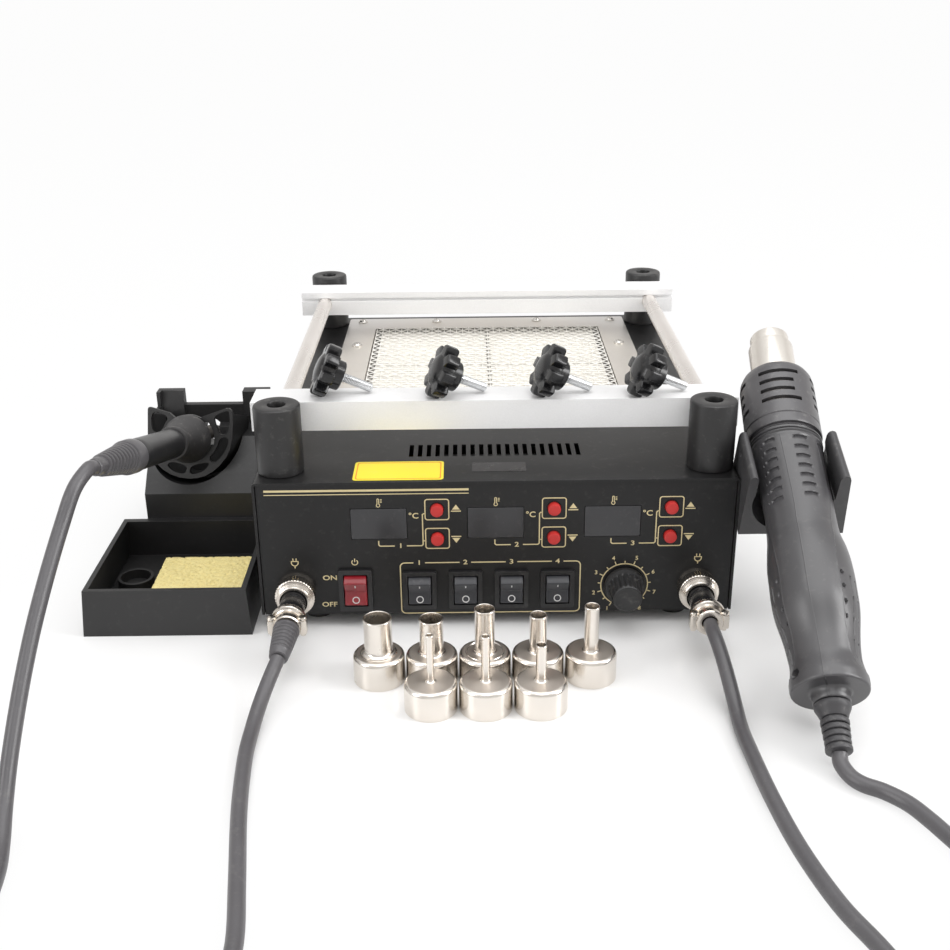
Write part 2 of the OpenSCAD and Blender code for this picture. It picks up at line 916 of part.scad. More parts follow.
function gun_ring(i, thin, n) = [
  for (k = [0:n - 1])
    [(gun_r[i] - thin) * cos(k * 360 / n), (gun_r[i] - thin) * sin(k * 360 / n) - gun_s[i], gun_z[i]]
];

// a closed skin over rings of equal count
module skin(rings, n) {
  m = len(rings);
  polyhedron(
    points = [for (ring = rings) each ring],
    faces = concat(
      [[for (k = [0:n - 1]) k]],
      [for (i = [0:m - 2], k = [0:n - 1])
        [i * n + k, (i + 1) * n + k, (i + 1) * n + (k + 1) % n]],
      [for (i = [0:m - 2], k = [0:n - 1])
        [i * n + k, (i + 1) * n + (k + 1) % n, i * n + (k + 1) % n]],
      [[for (k = [0:n - 1]) m * n - 1 - k]]
    )
  );
}

// moulded handle of the gun, with its vent holes
module gun_shell() {
  n = 48;
  placed() color([0.13, 0.13, 0.14])
    on_gun()
      difference() {
        union() {
          skin([for (i = [0:15]) gun_ring(i, 0, n)], n);
          translate([0, -gun_off, -5.9])
            cylinder(h = 6, r1 = 7.2, r2 = 9.4, $fn = 48);
        }
        skin([for (i = [3:15]) [for (p = gun_ring(i, 2.2, n)) i == 15 ? [p[0], p[1], 120.4] : p]], n);
        translate([0, -gun_off, -12])
          cylinder(h = 17, r = 4.2, $fn = 48);
        for (i = [0:6], s = [-1, 1])
          translate([-18, s * 6 - 4.5, 81.7 + i * 4.85])
            cube([10, 7, 1.6]);
      }
}

// how far each row of slots goes past the middle
slot_y = [8.6, 6.2, 6.2, 8.6];

// slotted collar that shields the hot tube
module gun_collar() {
  placed() color([0.14, 0.14, 0.15])
    on_gun()
      difference() {
        rotate_extrude($fn = 96)
          polygon([[collar_r - 2.2, 119.5], [collar_r - 1.3, 119.5], [collar_r - 1.3, 120.6],
                   [collar_r - 0.1, 120.6], [collar_r + 0.1, 121.3], [collar_r, 125.1],
                   [collar_r - 0.4, 125.5], [collar_r - 0.4, 125.8], [collar_r, 126.2],
                   [collar_r, 150], [collar_r - 0.5, 153.4], [collar_r - 1.6, 155.9],
                   [collar_r - 3.4, 157.7], [tube_r + 0.7, 158.7], [tube_r + 0.3, 158.7],
                   [tube_r + 0.3, 157.2], [collar_r - 4.6, 156.3], [collar_r - 3.2, 154.6],
                   [collar_r - 2.3, 152.4], [collar_r - 2, 149.6], [collar_r - 2, 124]]);
        for (i = [0:3], a = [-97.5, -7.5, 82.5, 172.5])
          rotate([0, 0, a])
            translate([-20, -slot_y[i], 132.9 + i * 5.2])
              cube([10, slot_y[i] + 8.6, 2]);
      }
}

// steel air tube with the flange that holds it in the collar
module gun_tube() {
  placed() color([0.75, 0.73, 0.7])
    on_gun() {
      difference() {
        union() {
          translate([0, 0, 121])
            cylinder(h = 40, r = tube_r - 0.3, $fn = 96);
          translate([0, 0, 159.7])
            cylinder(h = 17, r = tube_r, $fn = 96);
          translate([0, 0, 176.6])
            cylinder(h = 0.9, r1 = tube_r - 0.1, r2 = tube_r - 1.2, $fn = 96);
          translate([0, 0, 177.4])
            cylinder(h = 6, r = tube_r - 1.3, $fn = 96);
          translate([0, 0, 128])
            cylinder(h = 3, r = collar_r - 2.2, $fn = 96);
        }
        translate([0, 0, 120])
          cylinder(h = 56, r = tube_r - 0.9, $fn = 96);
        translate([0, 0, 170])
          cylinder(h = 14, r = tube_r - 2.1, $fn = 96);
      }
      translate([0, 0, 132])
        difference() {
          cylinder(h = 40, r = 4, $fn = 48);
          translate([0, 0, -1])
            cylinder(h = 42, r = 3, $fn = 48);
        }
      for (a = [0, 60, 120])
        rotate([0, 0, a])
          for (s = [-1, 1])
            translate([s * 6.4 - 3, -0.3, 134])
              cube([6.2, 0.6, 30]);
    }
}

// fan motor held by ribs in the handle
module gun_motor() {
  placed() color([0.45, 0.45, 0.47])
    on_gun()
      translate([0, 0.2 - gun_off, 0]) {
        translate([0, 0, 3.4])
          cylinder(h = 15.2, r = 8, $fn = 64);
        translate([0, 0, 18])
          cylinder(h = 12, r = 1, $fn = 32);
        for (a = [0:60:359])
          rotate([0, 0, a])
            translate([7.5, -1, 4.4])
              cube([4.7, 2, 7.6]);
      }
}

// small fan on the motor shaft
module gun_fan() {
  placed() color([0.1, 0.1, 0.1])
    on_gun()
      translate([0, 0.2 - gun_off, 20])
        difference() {
          union() {
            cylinder(h = 7, r = 4, $fn = 48);
            cylinder(h = 1, r = 12, $fn = 64);
            for (a = [0:45:359])
              rotate([0, 0, a])
                translate([3.6, -0.5, 0.9])
                  cube([8, 1, 6]);
          }
          translate([0, 0, -1])
            cylinder(h = 9, r = 1.06, $fn = 48);
        }
}

// ribbed boot where the lead leaves the gun
module gun_boot() {
  placed() color([0.08, 0.08, 0.085])
    on_gun()
      translate([0, -gun_off, 0]) {
        translate([0, 0, -6.6])
          cylinder(h = 9.2, r = 4.1, $fn = 48);
        translate([0, 0, -7.6])
          cylinder(h = 1.1, r = 7.2, $fn = 48);
        translate([0, 0, -12])
          cylinder(h = 4.5, r1 = 5.2, r2 = 7.1, $fn = 48);
        translate([0, 0, -26])
          cylinder(h = 14.1, r1 = 3.9, r2 = 4.5, $fn = 48);
        for (i = [0:4])
          translate([0, 0, -15 - i * 2.65])
            cylinder(h = 2.1, r = 5.5 - i * 0.15, $fn = 48);
      }
}

// place a child in the cradle, its X starts at the side of the case and its Y goes along the gun
module in_holder() {
  translate([half_w, 0, gun_at[2] - gun_at[1] * gun_dir[2] / gun_dir[1]])
    rotate([22, 0, 0])
      children();
}

// moulded cradle screwed to the right side of the case
module gun_holder() {
  placed() color([0.05, 0.05, 0.055])
    difference() {
      in_holder()
        translate([0, -12, 0])
          rotate([90, 0, 0])
            translate([0, 0, -28])
              linear_extrude(28)
                polygon([[0, -21.4], [46, -21.4], [42.8, 11.4], [42.3, 12.8], [41.5, 13.7],
                         [40.4, 14], [39.4, 13.7], [38.7, 12.8], [38.3, 11.4], [38.3, 0],
                         [3.9, 0], [3.9, 11.4], [3.6, 12.8], [2.9, 13.7], [2, 14], [1, 13.7],
                         [0.3, 12.8], [0, 11.4]]);
      on_gun()
        translate([0, 0, 70])
          cylinder(h = 70, r = 17.2, $fn = 96);
      in_holder()
        for (p = [[8, 8], [10, -16]])
          translate([1, p[0], p[1]])
            rotate([0, 90, 0])
              cylinder(h = 12, r = 1.8, center = true, $fn = 32);
    }
}

nozzle_x = [-50.4, -28.2, -6, 16.2, 38.4, -28.2, -6, 16.2];
nozzle_y = [-43.5, -43.5, -43.5, -43.5, -43.5, -65.9, -65.9, -65.9];
nozzle_h = [29.1, 28.6, 32.9, 29.7, 33.5, 34, 33.2, 29];
nozzle_m = [5.9, 5, 4.2, 3.6, 3.05, 1.45, 1.75, 2.15];

// a drawn nozzle, cup down on the bench
module nozzle(i) {
  r = cup_r;
  w = 0.5;
  m = nozzle_m[i];
  h = nozzle_h[i];
  color([0.78, 0.74, 0.7])
    translate([nozzle_x[i], nozzle_y[i], 0])
      rotate_extrude($fn = 96)
        difference() {
          union() {
            square([r, cup_h - 2]);
            square([r - 2, cup_h]);
            translate([r - 2, cup_h - 2])
              circle(r = 2, $fn = 48);
            square([m + 0.8, cup_h + 1]);
            square([m, h]);
          }
          translate([-1, -1])
            square([r - w + 1, cup_h - 2 - w + 1]);
          translate([-1, -1])
            square([r - 2.5, cup_h - w + 1]);
          translate([-1, -1])
            square([m - 0.4 + 1, h + 3]);
          translate([-5, 0])
            square([5, h + 5]);
        }
}

module nozzle_1() {
  placed() nozzle(0);
}

module nozzle_2() {
  placed() nozzle(1);
}

module nozzle_3() {
  placed() nozzle(2);
}

module nozzle_4() {
  placed() nozzle(3);
}

module nozzle_5() {
  placed() nozzle(4);
}

module nozzle_6() {
  placed() nozzle(5);
}

module nozzle_7() {
  placed() nozzle(6);
}

module nozzle_8() {
  placed() nozzle(7);
}

// a smooth curve through the given points, k steps to each span
function knot(p, a, b, c, d, t) =
  0.5 * (2 * p[b] + (p[c] - p[a]) * t + (2 * p[a] - 5 * p[b] + 4 * p[c] - p[d]) * t * t
    + (3 * p[b] - p[a] - 3 * p[c] + p[d]) * t * t * t);

function curve(p, k) = concat(
  [for (i = [0:len(p) - 2], j = [0:k - 1])
    knot(p, max(i - 1, 0), i, i + 1, min(i + 2, len(p) - 1), j / k)],
  [p[len(p) - 1]]
);

function unit(v) = v / norm(v);

function lead_ring(c, i, r, n) =
  let (
    t = unit(c[min(i + 1, len(c) - 1)] - c[max(i - 1, 0)]),
    u = unit(cross(t, [0.9, 0.1, 0.2])),
    w = cross(t, u)
  )
  [for (k = [0:n - 1]) c[i] + r * cos(k * 360 / n) * u + r * sin(k * 360 / n) * w];

// a lead along the given points
module lead(points, k) {
  c = curve(points, k);
  skin([for (i = [0:len(c) - 1]) lead_ring(c, i, lead_r, lead_sides)], lead_sides);
}

iron_end = iron_at + (60 + handle_len) * unit(iron_dir);

// the same points, moved sideways
function moved(points, dx) = [for (p = points) p + [dx, 0, 0]];

// from the boot of the iron down to the bench, it moves with the iron
module iron_lead_upper() {
  placed() color([0.07, 0.07, 0.075])
    lead(concat([iron_end + 0.05 * iron_dir, iron_end + 6 * iron_dir], moved([
          [-167, -44, 89], [-170, -54, 79], [-173, -70, 65], [-175, -87, 51], [-176, -105, 36],
          [-176, -123, 21], [-175, -137, 10], [-172.5, -150, 4.2], [-169.5, -164, 3.1],
          [-167.5, -185, 3.1], [-167, -206, 3.1], [-167.6, -228, 3.1]], -spread)), 2);
}

// from the bench to the plug sleeve under the left socket
module iron_lead_lower() {
  placed() color([0.07, 0.07, 0.075])
    lead(moved([
          [-91.25, -51.6, 15], [-92.7, -57, 13], [-94.6, -64, 9.8], [-96.6, -74, 6],
          [-97.6, -86, 3.6], [-97.6, -100, 3.1], [-96, -120, 3.1], [-93.6, -140, 3.1],
          [-89, -170, 3.1], [-85.4, -196, 3.1], [-86, -216, 3.1], [-88.9, -232, 3.1]],
          -spread), 2);
}

gun_side = [-0.9984, 0.0558, 0];
gun_end = gun_at - 26.05 * unit(gun_dir) - gun_off * gun_side;

// from the boot of the gun along the bench, it moves with the gun
module gun_lead_upper() {
  placed() color([0.07, 0.07, 0.075])
    lead(concat([gun_end, gun_end - 4 * unit(gun_dir)], moved([
          [126.4, -118.6, 3.5], [130, -123, 3.1], [136, -127, 3.1], [142.5, -134, 3.1],
          [147, -143, 3.1], [151, -153, 3.1], [159, -172, 3.1], [175, -194, 3.1],
          [192, -212, 3.1], [199.5, -232, 3.1]], spread)), 3);
}

// from the bench to the right plug
module gun_lead_lower() {
  placed() color([0.07, 0.07, 0.075])
    lead(concat([[sock_x, -34.5, z_sock], [sock_x, -40, z_sock]], moved([
          [90.2, -48, 18], [91.2, -58, 14.4], [92.3, -67, 9.4], [93, -76, 5], [93, -86, 3.1],
          [93.2, -98, 3.1], [95, -128, 3.1], [98.4, -157, 3.1], [104.3, -183, 3.1],
          [111.3, -201, 3.1], [117, -218, 3.1], [120.9, -232, 3.1]], spread)), 2);
}

// the spare length of both leads, wound and laid on the bench
module lead_coils() {
  placed() color([0.07, 0.07, 0.075])
    for (x = [-128 - spread, 160 + spread])
      translate([x, -246, 0])
        rotate_extrude($fn = 96) {
          translate([35.5, lead_r + 0.1])
            circle(r = lead_r, $fn = 24);
          translate([29.7, lead_r + 0.1])
            circle(r = lead_r, $fn = 24);
          translate([32.6, lead_r + 5])
            circle(r = lead_r, $fn = 24);
        }
}

chassis();
top_cover();
rubber_feet();
heater_plate();
wire_mesh();
ceramic_heater();
plate_screws();
corner_posts();
guide_rods();
front_rail();
back_rail();
clamp_knobs();
power_rocker();
rocker_1();
rocker_2();
rocker_3();
rocker_4();
switch_bodies();
temp_button_1();
temp_button_2();
temp_button_3();
temp_button_4();
temp_button_5();
temp_button_6();
display_windows();
control_board();
dial_knob();
panel_sockets();
left_coupling_ring();
right_coupling_ring();
plug_bodies();
transformer();
mains_inlet();
stand_base();
stand_funnel();
sponge();
iron_grip();
iron_handle();
iron_barrel();
iron_boot();
gun_shell();
gun_collar();
gun_tube();
gun_motor();
gun_fan();
gun_boot();
gun_holder();
nozzle_1();
nozzle_2();
nozzle_3();
nozzle_4();
nozzle_5();
nozzle_6();
nozzle_7();
nozzle_8();
iron_lead_upper();
iron_lead_lower();
gun_lead_upper();
gun_lead_lower();
lead_coils();
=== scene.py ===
import math

import bmesh
import bpy
from mathutils import Matrix, Vector, noise


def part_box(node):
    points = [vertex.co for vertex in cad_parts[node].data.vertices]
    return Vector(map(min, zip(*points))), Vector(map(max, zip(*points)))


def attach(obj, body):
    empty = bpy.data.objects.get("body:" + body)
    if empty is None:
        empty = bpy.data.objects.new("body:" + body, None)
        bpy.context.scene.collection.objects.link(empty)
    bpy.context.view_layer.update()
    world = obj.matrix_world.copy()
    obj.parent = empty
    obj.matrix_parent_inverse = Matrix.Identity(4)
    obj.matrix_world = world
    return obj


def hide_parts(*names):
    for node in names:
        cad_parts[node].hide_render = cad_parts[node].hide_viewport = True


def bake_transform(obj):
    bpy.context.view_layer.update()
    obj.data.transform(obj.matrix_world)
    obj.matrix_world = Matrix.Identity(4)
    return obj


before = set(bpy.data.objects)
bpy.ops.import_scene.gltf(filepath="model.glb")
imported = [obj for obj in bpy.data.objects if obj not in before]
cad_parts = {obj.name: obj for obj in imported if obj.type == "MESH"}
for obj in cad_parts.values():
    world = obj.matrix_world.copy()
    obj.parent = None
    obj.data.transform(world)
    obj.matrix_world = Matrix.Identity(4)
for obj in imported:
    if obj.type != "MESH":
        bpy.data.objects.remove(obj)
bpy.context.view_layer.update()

# Places read off the photograph are counted from the bench under the middle of the panel.
case_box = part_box("chassis")
front = Vector(((case_box[0].x + case_box[1].x) / 2, case_box[0].y, 0))


# ---- the camera: a little above the bench, in front of the panel, looking down on it ----
# A square picture, through the lens that the photograph has.

mm = 0.001
eye = front + Vector((-11.556, -483.775, 282.44)) * mm
eye_yaw, eye_pitch, eye_roll = math.radians(0.281), math.radians(23.298), math.radians(-0.571)
picture_width, lens = 36, 46.27


def place_camera():
    forward = Vector((math.sin(eye_yaw) * math.cos(eye_pitch),
                      math.cos(eye_yaw) * math.cos(eye_pitch), -math.sin(eye_pitch)))
    level = Vector((math.cos(eye_yaw), -math.sin(eye_yaw), 0))
    raised = level.cross(forward)
    right = level * math.cos(eye_roll) + raised * math.sin(eye_roll)
    up = raised * math.cos(eye_roll) - level * math.sin(eye_roll)
    data = bpy.data.cameras.new("camera")
    data.sensor_width, data.lens = picture_width, lens
    data.clip_start, data.clip_end = 0.02, 60
    camera = bpy.data.objects.new("camera", data)
    bpy.context.scene.collection.objects.link(camera)
    turn = Matrix((right, up, -forward)).transposed().to_4x4()
    camera.matrix_world = Matrix.Translation(eye) @ turn
    bpy.context.scene.camera = camera
    bpy.context.scene.view_settings.view_transform = "Standard"


place_camera()


# ---- the bench: a glossy white table top, which shows as white and keeps the shadows ----
# White lacquer. Away from the station the camera and the metal see it as plain white.

def placed(name, mesh):
    """An object for a mesh. It sits at the origin, with its place in its points."""
    piece = bpy.data.objects.new(name, mesh)
    bpy.context.scene.collection.objects.link(piece)
    return piece


def new_piece(name, points, faces):
    mesh = bpy.data.meshes.new(name)
    mesh.from_pydata([tuple(p) for p in points], [], faces)
    return placed(name, mesh)


def new_material(name):
    """An empty material: itself, its tree and its one shader."""
    material = bpy.data.materials.new(name)
    material.use_nodes = True
    return material, material.node_tree, material.node_tree.nodes["Principled BSDF"]


def feed(tree, node, inputs):
    """Sets a node's inputs to values, or joins them to what other nodes put out."""
    for socket, value in inputs.items():
        if isinstance(value, bpy.types.NodeSocket):
            tree.links.new(value, node.inputs[socket])
        else:
            node.inputs[socket].default_value = value
    return node


def add(tree, kind, inputs={}, **settings):
    """A new node with its settings and inputs."""
    node = tree.nodes.new(kind)
    for name, value in settings.items():
        setattr(node, name, value)
    return feed(tree, node, inputs)


def sums(tree, operation, *values, **settings):
    """The result of a sum."""
    node = add(tree, "ShaderNodeMath", dict(enumerate(values)), operation=operation, **settings)
    return node.outputs[0]


def ranged(tree, value, low, high, first=0, last=1, **settings):
    """A value between low and high, moved to between first and last and held there."""
    node = add(tree, "ShaderNodeMapRange", {"Value": value, "From Min": low, "From Max": high,
                                            "To Min": first, "To Max": last}, **settings)
    return node.outputs[0]


def bench_top():
    material, tree, shader = new_material("white_bench")
    feed(tree, shader, {"Base Color": (0.9, 0.9, 0.9, 1), "Roughness": 0.2,
                        "Specular IOR Level": 0.35})
    white = add(tree, "ShaderNodeEmission", {"Color": (1, 1, 1, 1)})

    def vector_step(operation, *values):
        node = add(tree, "ShaderNodeVectorMath", dict(enumerate(values)), operation=operation)
        return node.outputs["Value" if operation == "LENGTH" else "Vector"]

    # How far a point of the bench is from the ground that the station covers.
    ground_middle, ground_half = front + Vector((-15, 60, 0)) * mm, (0.13, 0.135, 1)
    where = add(tree, "ShaderNodeTexCoord").outputs["Object"]
    aside = vector_step("ABSOLUTE", vector_step("SUBTRACT", where, ground_middle))
    outside = vector_step("MAXIMUM", vector_step("SUBTRACT", aside, ground_half), (0, 0, 0))
    whiter = ranged(tree, vector_step("LENGTH", outside), 0, 0.085, 0, 0.93,
                    interpolation_type="SMOOTHSTEP")
    rays = add(tree, "ShaderNodeLightPath").outputs
    seen = sums(tree, "MAXIMUM", rays["Is Camera Ray"], rays["Is Transmission Ray"])
    seen = sums(tree, "MAXIMUM", seen, rays["Is Glossy Ray"])
    mix = add(tree, "ShaderNodeMixShader", {0: sums(tree, "MULTIPLY", seen, whiter),
                                            1: shader.outputs[0], 2: white.outputs[0]})
    feed(tree, tree.nodes["Material Output"], {"Surface": mix.outputs[0]})
    reach = 12
    corners = [(-reach, -reach, 0), (reach, -reach, 0), (reach, reach, 0), (-reach, reach, 0)]
    bench = new_piece("bench", corners, [(0, 1, 2, 3)])
    bench.data.materials.append(material)


bench_top()


# ---- the light: a white tent, a wide soft box overhead and a narrower one at each side ----
# The tent is cloth, lit evenly all round, and each box is a rectangle of diffused light.

def tent():
    """Lit cloth all round. The camera sees plain white, and metal sees darker walls."""
    world = bpy.data.worlds.new("tent")
    bpy.context.scene.world = world
    world.use_nodes = True
    tree = world.node_tree
    shown = feed(tree, tree.nodes["Background"], {"Color": (1, 0.985, 0.97, 1),
                                                  "Strength": 0.6})
    white = add(tree, "ShaderNodeBackground", {"Color": (1, 1, 1, 1), "Strength": 1})
    heading = add(tree, "ShaderNodeTexCoord").outputs["Generated"]
    height = add(tree, "ShaderNodeSeparateXYZ", {0: heading}).outputs["Z"]
    fade = add(tree, "ShaderNodeValToRGB", {0: height})
    stops = fade.color_ramp.elements
    stops[0].color, stops[1].color = (0.95, 0.93, 0.9, 1), (0.9, 0.9, 0.9, 1)
    for position, colour in ((0.22, (0.95, 0.94, 0.92, 1)), (0.33, (0.66, 0.63, 0.61, 1)),
                             (0.56, (0.76, 0.75, 0.74, 1)), (0.72, (0.98, 0.98, 0.98, 1))):
        stops.new(position).color = colour
    walls = add(tree, "ShaderNodeBackground", {"Color": fade.outputs["Color"],
                                               "Strength": 0.95})
    rays = add(tree, "ShaderNodeLightPath").outputs
    for ray, sky in (("Is Glossy Ray", walls), ("Is Camera Ray", white)):
        shown = add(tree, "ShaderNodeMixShader", {0: rays[ray], 1: shown.outputs[0],
                                                  2: sky.outputs[0]})
    feed(tree, tree.nodes["World Output"], {"Surface": shown.outputs[0]})


def soft_box(name, at, toward, width, height, watts):
    data = bpy.data.lights.new(name, "AREA")
    data.shape = "RECTANGLE"
    data.size, data.size_y, data.energy = width, height, watts
    lamp = bpy.data.objects.new(name, data)
    bpy.context.scene.collection.objects.link(lamp)
    lamp.location = front + Vector(at)
    lamp.rotation_mode = "QUATERNION"
    lamp.rotation_quaternion = (Vector(toward) - Vector(at)).to_track_quat("-Z", "Y")


tent()
soft_box("box_above", (0.1, -0.05, 1.5), (0, 0.05, 0), 1.5, 1.4, 13)
soft_box("box_left", (-1.2, -0.6, 0.7), (0, 0, 0.05), 0.5, 1.1, 7)
soft_box("box_right", (1.25, -0.3, 0.8), (0, 0, 0.05), 0.5, 1.1, 13)


# ---- the leads: silicone-soft rubber leads, one moulded on the iron, one on the gun ----
# Each is a single length. It drops from the boot to the bench and runs to a plug on the
# panel, and the spare length is wound in a round coil on the bench.

lead_d, lead_rest, lead_sides = 6 * mm, 3.1 * mm, 18

iron_at = front + Vector((-151.2, 84, 59.7)) * mm
iron_way = Vector((-0.1, -0.957, 0.272)).normalized()
iron_boot_end = iron_at + 118 * mm * iron_way

gun_at = front + Vector((122.2, -87, 20)) * mm
gun_way = Vector((9.3, 166.5, 95.6)).normalized()
gun_side = Vector((-0.9984, 0.0558, 0))
gun_boot_end = gun_at - 26.05 * mm * gun_way - 3.6 * mm * gun_side


def smooth_route(points, steps):
    """The curve that passes through the points, in the same way as the CAD's leads."""
    route = []
    last = len(points) - 1
    for i in range(last):
        a, b, c, d = (points[k] for k in (max(i - 1, 0), i, i + 1, min(i + 2, last)))
        for j in range(steps):
            t = j / steps
            route.append(0.5 * (2 * b + (c - a) * t + (2 * a - 5 * b + 4 * c - d) * t * t
                                + (3 * b - a - 3 * c + d) * t ** 3))
    return route + [points[last]]


def eased_step(t):
    t = min(max(t, 0), 1)
    return t * t * (3 - 2 * t)


def wound(centre_x, centre_y, side):
    """Two and a half turns on the bench and across each other, side -1 winds the other way."""
    outer, step = 35.5 * mm, 6 * mm
    points = []
    for degrees in range(178, 1090, 15):
        turn, within = divmod(degrees - 154, 360)
        over = eased_step(within / 86)
        height = lead_rest
        if turn < 2:
            radius = outer + step * (1 - over) - step * turn
            if turn == 1:
                height += 6.1 * mm * eased_step((within - 290) / 66)
        else:
            radius = outer - step + step * over / 2
            height += (6.1 - 0.8 * eased_step((within - 60) / 60)) * mm
        leaving = (degrees - 1030) / 70
        if leaving > 0:
            fall = math.radians(90 * (1 - eased_step((leaving - 0.3) / 0.7)))
            radius += step / 2 * eased_step(leaving / 0.3)
            height += 0.8 * mm * eased_step(leaving / 0.3)
            if leaving > 0.3:
                radius = outer + 6.1 * mm * math.cos(fall)
                height = lead_rest + 6.1 * mm * math.sin(fall)
        angle = math.radians(degrees)
        points.append(front + Vector((centre_x * mm + side * radius * math.cos(angle),
                                      centre_y * mm + radius * math.sin(angle), height)))
    return points


def in_mm(*points):
    """Points in mm. One that gives no height lies on the bench."""
    return [front + Vector((*p, lead_rest / mm)[:3]) * mm for p in points]


iron_route = smooth_route(
    [iron_boot_end + 0.05 * mm * iron_way, iron_boot_end + 6 * mm * iron_way]
    + in_mm((-167, -44, 89), (-170, -54, 79), (-173, -70, 65), (-175, -87, 51),
            (-176, -105, 36), (-176, -123, 21), (-175, -137, 10), (-172.5, -150, 4.2),
            (-169.5, -164), (-167.5, -185), (-167, -206), (-167.6, -228))
    + wound(-128, -246, 1)
    + in_mm((-88.9, -232), (-86, -216), (-85.4, -196), (-89, -170),
            (-93.6, -140), (-96, -120), (-97.6, -100), (-97.6, -86, 3.6),
            (-96.6, -74, 6), (-94.6, -64, 9.8), (-92.7, -57, 13), (-91.25, -51.6, 15)), 5)

gun_route = smooth_route(
    [gun_boot_end, gun_boot_end - 4 * mm * gun_way]
    + in_mm((126.4, -118.6, 3.5), (130, -123), (136, -127), (142.5, -134),
            (147, -143), (151, -153), (159, -172), (175, -194),
            (192, -212), (199.5, -232))
    + wound(160, -246, -1)
    + in_mm((120.9, -232), (117, -218), (111.3, -201), (104.3, -183),
            (98.4, -157), (95, -128), (93.2, -98), (93, -86),
            (93, -76, 5), (92.3, -67, 9.4), (91.2, -58, 14.4), (90.2, -48, 18),
            (89.7, -40, 19), (89.7, -34.5, 19)), 5)


def tube(name, route, radius, sides):
    """A round tube along a route, closed at both ends."""
    points, faces = [], []
    aside = Vector((0.3, 0.2, 1)).cross(route[1] - route[0]).normalized()
    for i, at in enumerate(route):
        way = (route[min(i + 1, len(route) - 1)] - route[max(i - 1, 0)]).normalized()
        aside = (aside - way * aside.dot(way)).normalized()
        across = way.cross(aside)
        for k in range(sides):
            turn = 2 * math.pi * k / sides
            points.append(at + radius * (math.cos(turn) * aside + math.sin(turn) * across))
    for i in range(len(route) - 1):
        for k in range(sides):
            a, b = i * sides + k, i * sides + (k + 1) % sides
            faces.append((a, b, b + sides, a + sides))
    faces.append(tuple(reversed(range(sides))))
    faces.append(tuple(range(len(points) - sides, len(points))))
    piece = new_piece(name, points, faces)
    piece.data.shade_smooth()
    piece.data.set_sharp_from_angle(angle=math.radians(40))
    return piece


def node_group(name, kind, inputs, outputs):
    """An empty node group with named sockets, what it is given and where its results go."""
    tree = bpy.data.node_groups.new(name, kind)
    for sockets, way in ((inputs, "INPUT"), (outputs, "OUTPUT")):
        for label, sort in sockets.items():
            tree.interface.new_socket(label, in_out=way, socket_type="NodeSocket" + sort)
    return tree, tree.nodes.new("NodeGroupInput").outputs, tree.nodes.new("NodeGroupOutput")


def surface_grain():
    """Height and slow mottle of a moulded, cast or painted skin, in its own size."""
    tree, given, made = node_group("surface_grain", "ShaderNodeTree",
                                   {"Grain per metre": "Float", "Mottle per metre": "Float"},
                                   {"Height": "Float", "Mottle": "Float"})
    where = add(tree, "ShaderNodeTexCoord").outputs["Object"]
    for size, detail, result in (("Grain per metre", 2, "Height"),
                                 ("Mottle per metre", 3, "Mottle")):
        waves = add(tree, "ShaderNodeTexNoise", {"Vector": where, "Scale": given[size],
                                                 "Detail": detail})
        feed(tree, made, {result: waves.outputs["Fac"]})
    return tree


def handling_marks():
    """Where a surface is rubbed or dusty, from 0 to 1, more of it on what faces up."""
    tree, given, made = node_group("handling_marks", "ShaderNodeTree",
                                   {"Marks per metre": "Float", "Amount": "Float"},
                                   {"Marks": "Float"})
    where = add(tree, "ShaderNodeTexCoord").outputs["Object"]
    specks = add(tree, "ShaderNodeTexNoise", {"Vector": where, "Detail": 5, "Roughness": 0.7,
                                              "Scale": given["Marks per metre"]})
    normal = add(tree, "ShaderNodeNewGeometry").outputs["Normal"]
    facing = add(tree, "ShaderNodeSeparateXYZ", {0: normal}).outputs["Z"]
    amount = sums(tree, "MULTIPLY", ranged(tree, facing, -0.2, 1, 0.35), given["Amount"])
    marks = sums(tree, "MULTIPLY", amount, ranged(tree, specks.outputs["Fac"], 0.56, 0.8),
                 use_clamp=True)
    feed(tree, made, {"Marks": marks})
    return tree


def mixed(tree, share, a, b, blend="MIX"):
    """Two colours mixed."""
    node = add(tree, "ShaderNodeMix", {"Factor": share, "A": a, "B": b}, data_type="RGBA",
               blend_type=blend)
    return node.outputs["Result"]


grain_group, marks_group = surface_grain(), handling_marks()


def finish(name, dark, light, rough, grain, depth, mottle=40, marks=0.25, metal=0.0,
           specular=0.5, dust=(0.5, 0.48, 0.45), marks_size=260):
    """A finish of this object: two tones, a roughness that varies, and its own grain.

    grain is in mm from bump to bump and depth in mm from top to bottom.
    """
    material, tree, shader = new_material(name)
    skin = add(tree, "ShaderNodeGroup", {"Grain per metre": 1 / (grain * mm),
                                         "Mottle per metre": mottle}, node_tree=grain_group)
    wear = add(tree, "ShaderNodeGroup", {"Marks per metre": marks_size, "Amount": marks},
               node_tree=marks_group)
    skin, wear = skin.outputs, wear.outputs
    tone = mixed(tree, skin["Mottle"], (*dark, 1), (*light, 1))
    bump = add(tree, "ShaderNodeBump", {"Strength": 1, "Distance": depth * mm,
                                        "Height": skin["Height"]})
    feed(tree, shader, {"Base Color": mixed(tree, wear["Marks"], tone, (*dust, 1)),
                        "Roughness": ranged(tree, skin["Mottle"], 0.3, 0.7, *rough),
                        "Normal": bump.outputs[0], "Metallic": metal,
                        "Specular IOR Level": specular})
    return material


lead_rubber = finish("lead_rubber", (0.076, 0.073, 0.078), (0.106, 0.102, 0.108),
                     (0.3, 0.4), grain=0.5, depth=0.012, marks=0.12)


def lay_lead(name, route, tool, follows, length, *nodes):
    """One lead: a round tube along its route."""
    lead = tube(name, route, lead_d / 2, lead_sides)
    lead.data.materials.append(lead_rubber)
    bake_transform(lead)
    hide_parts(*nodes)


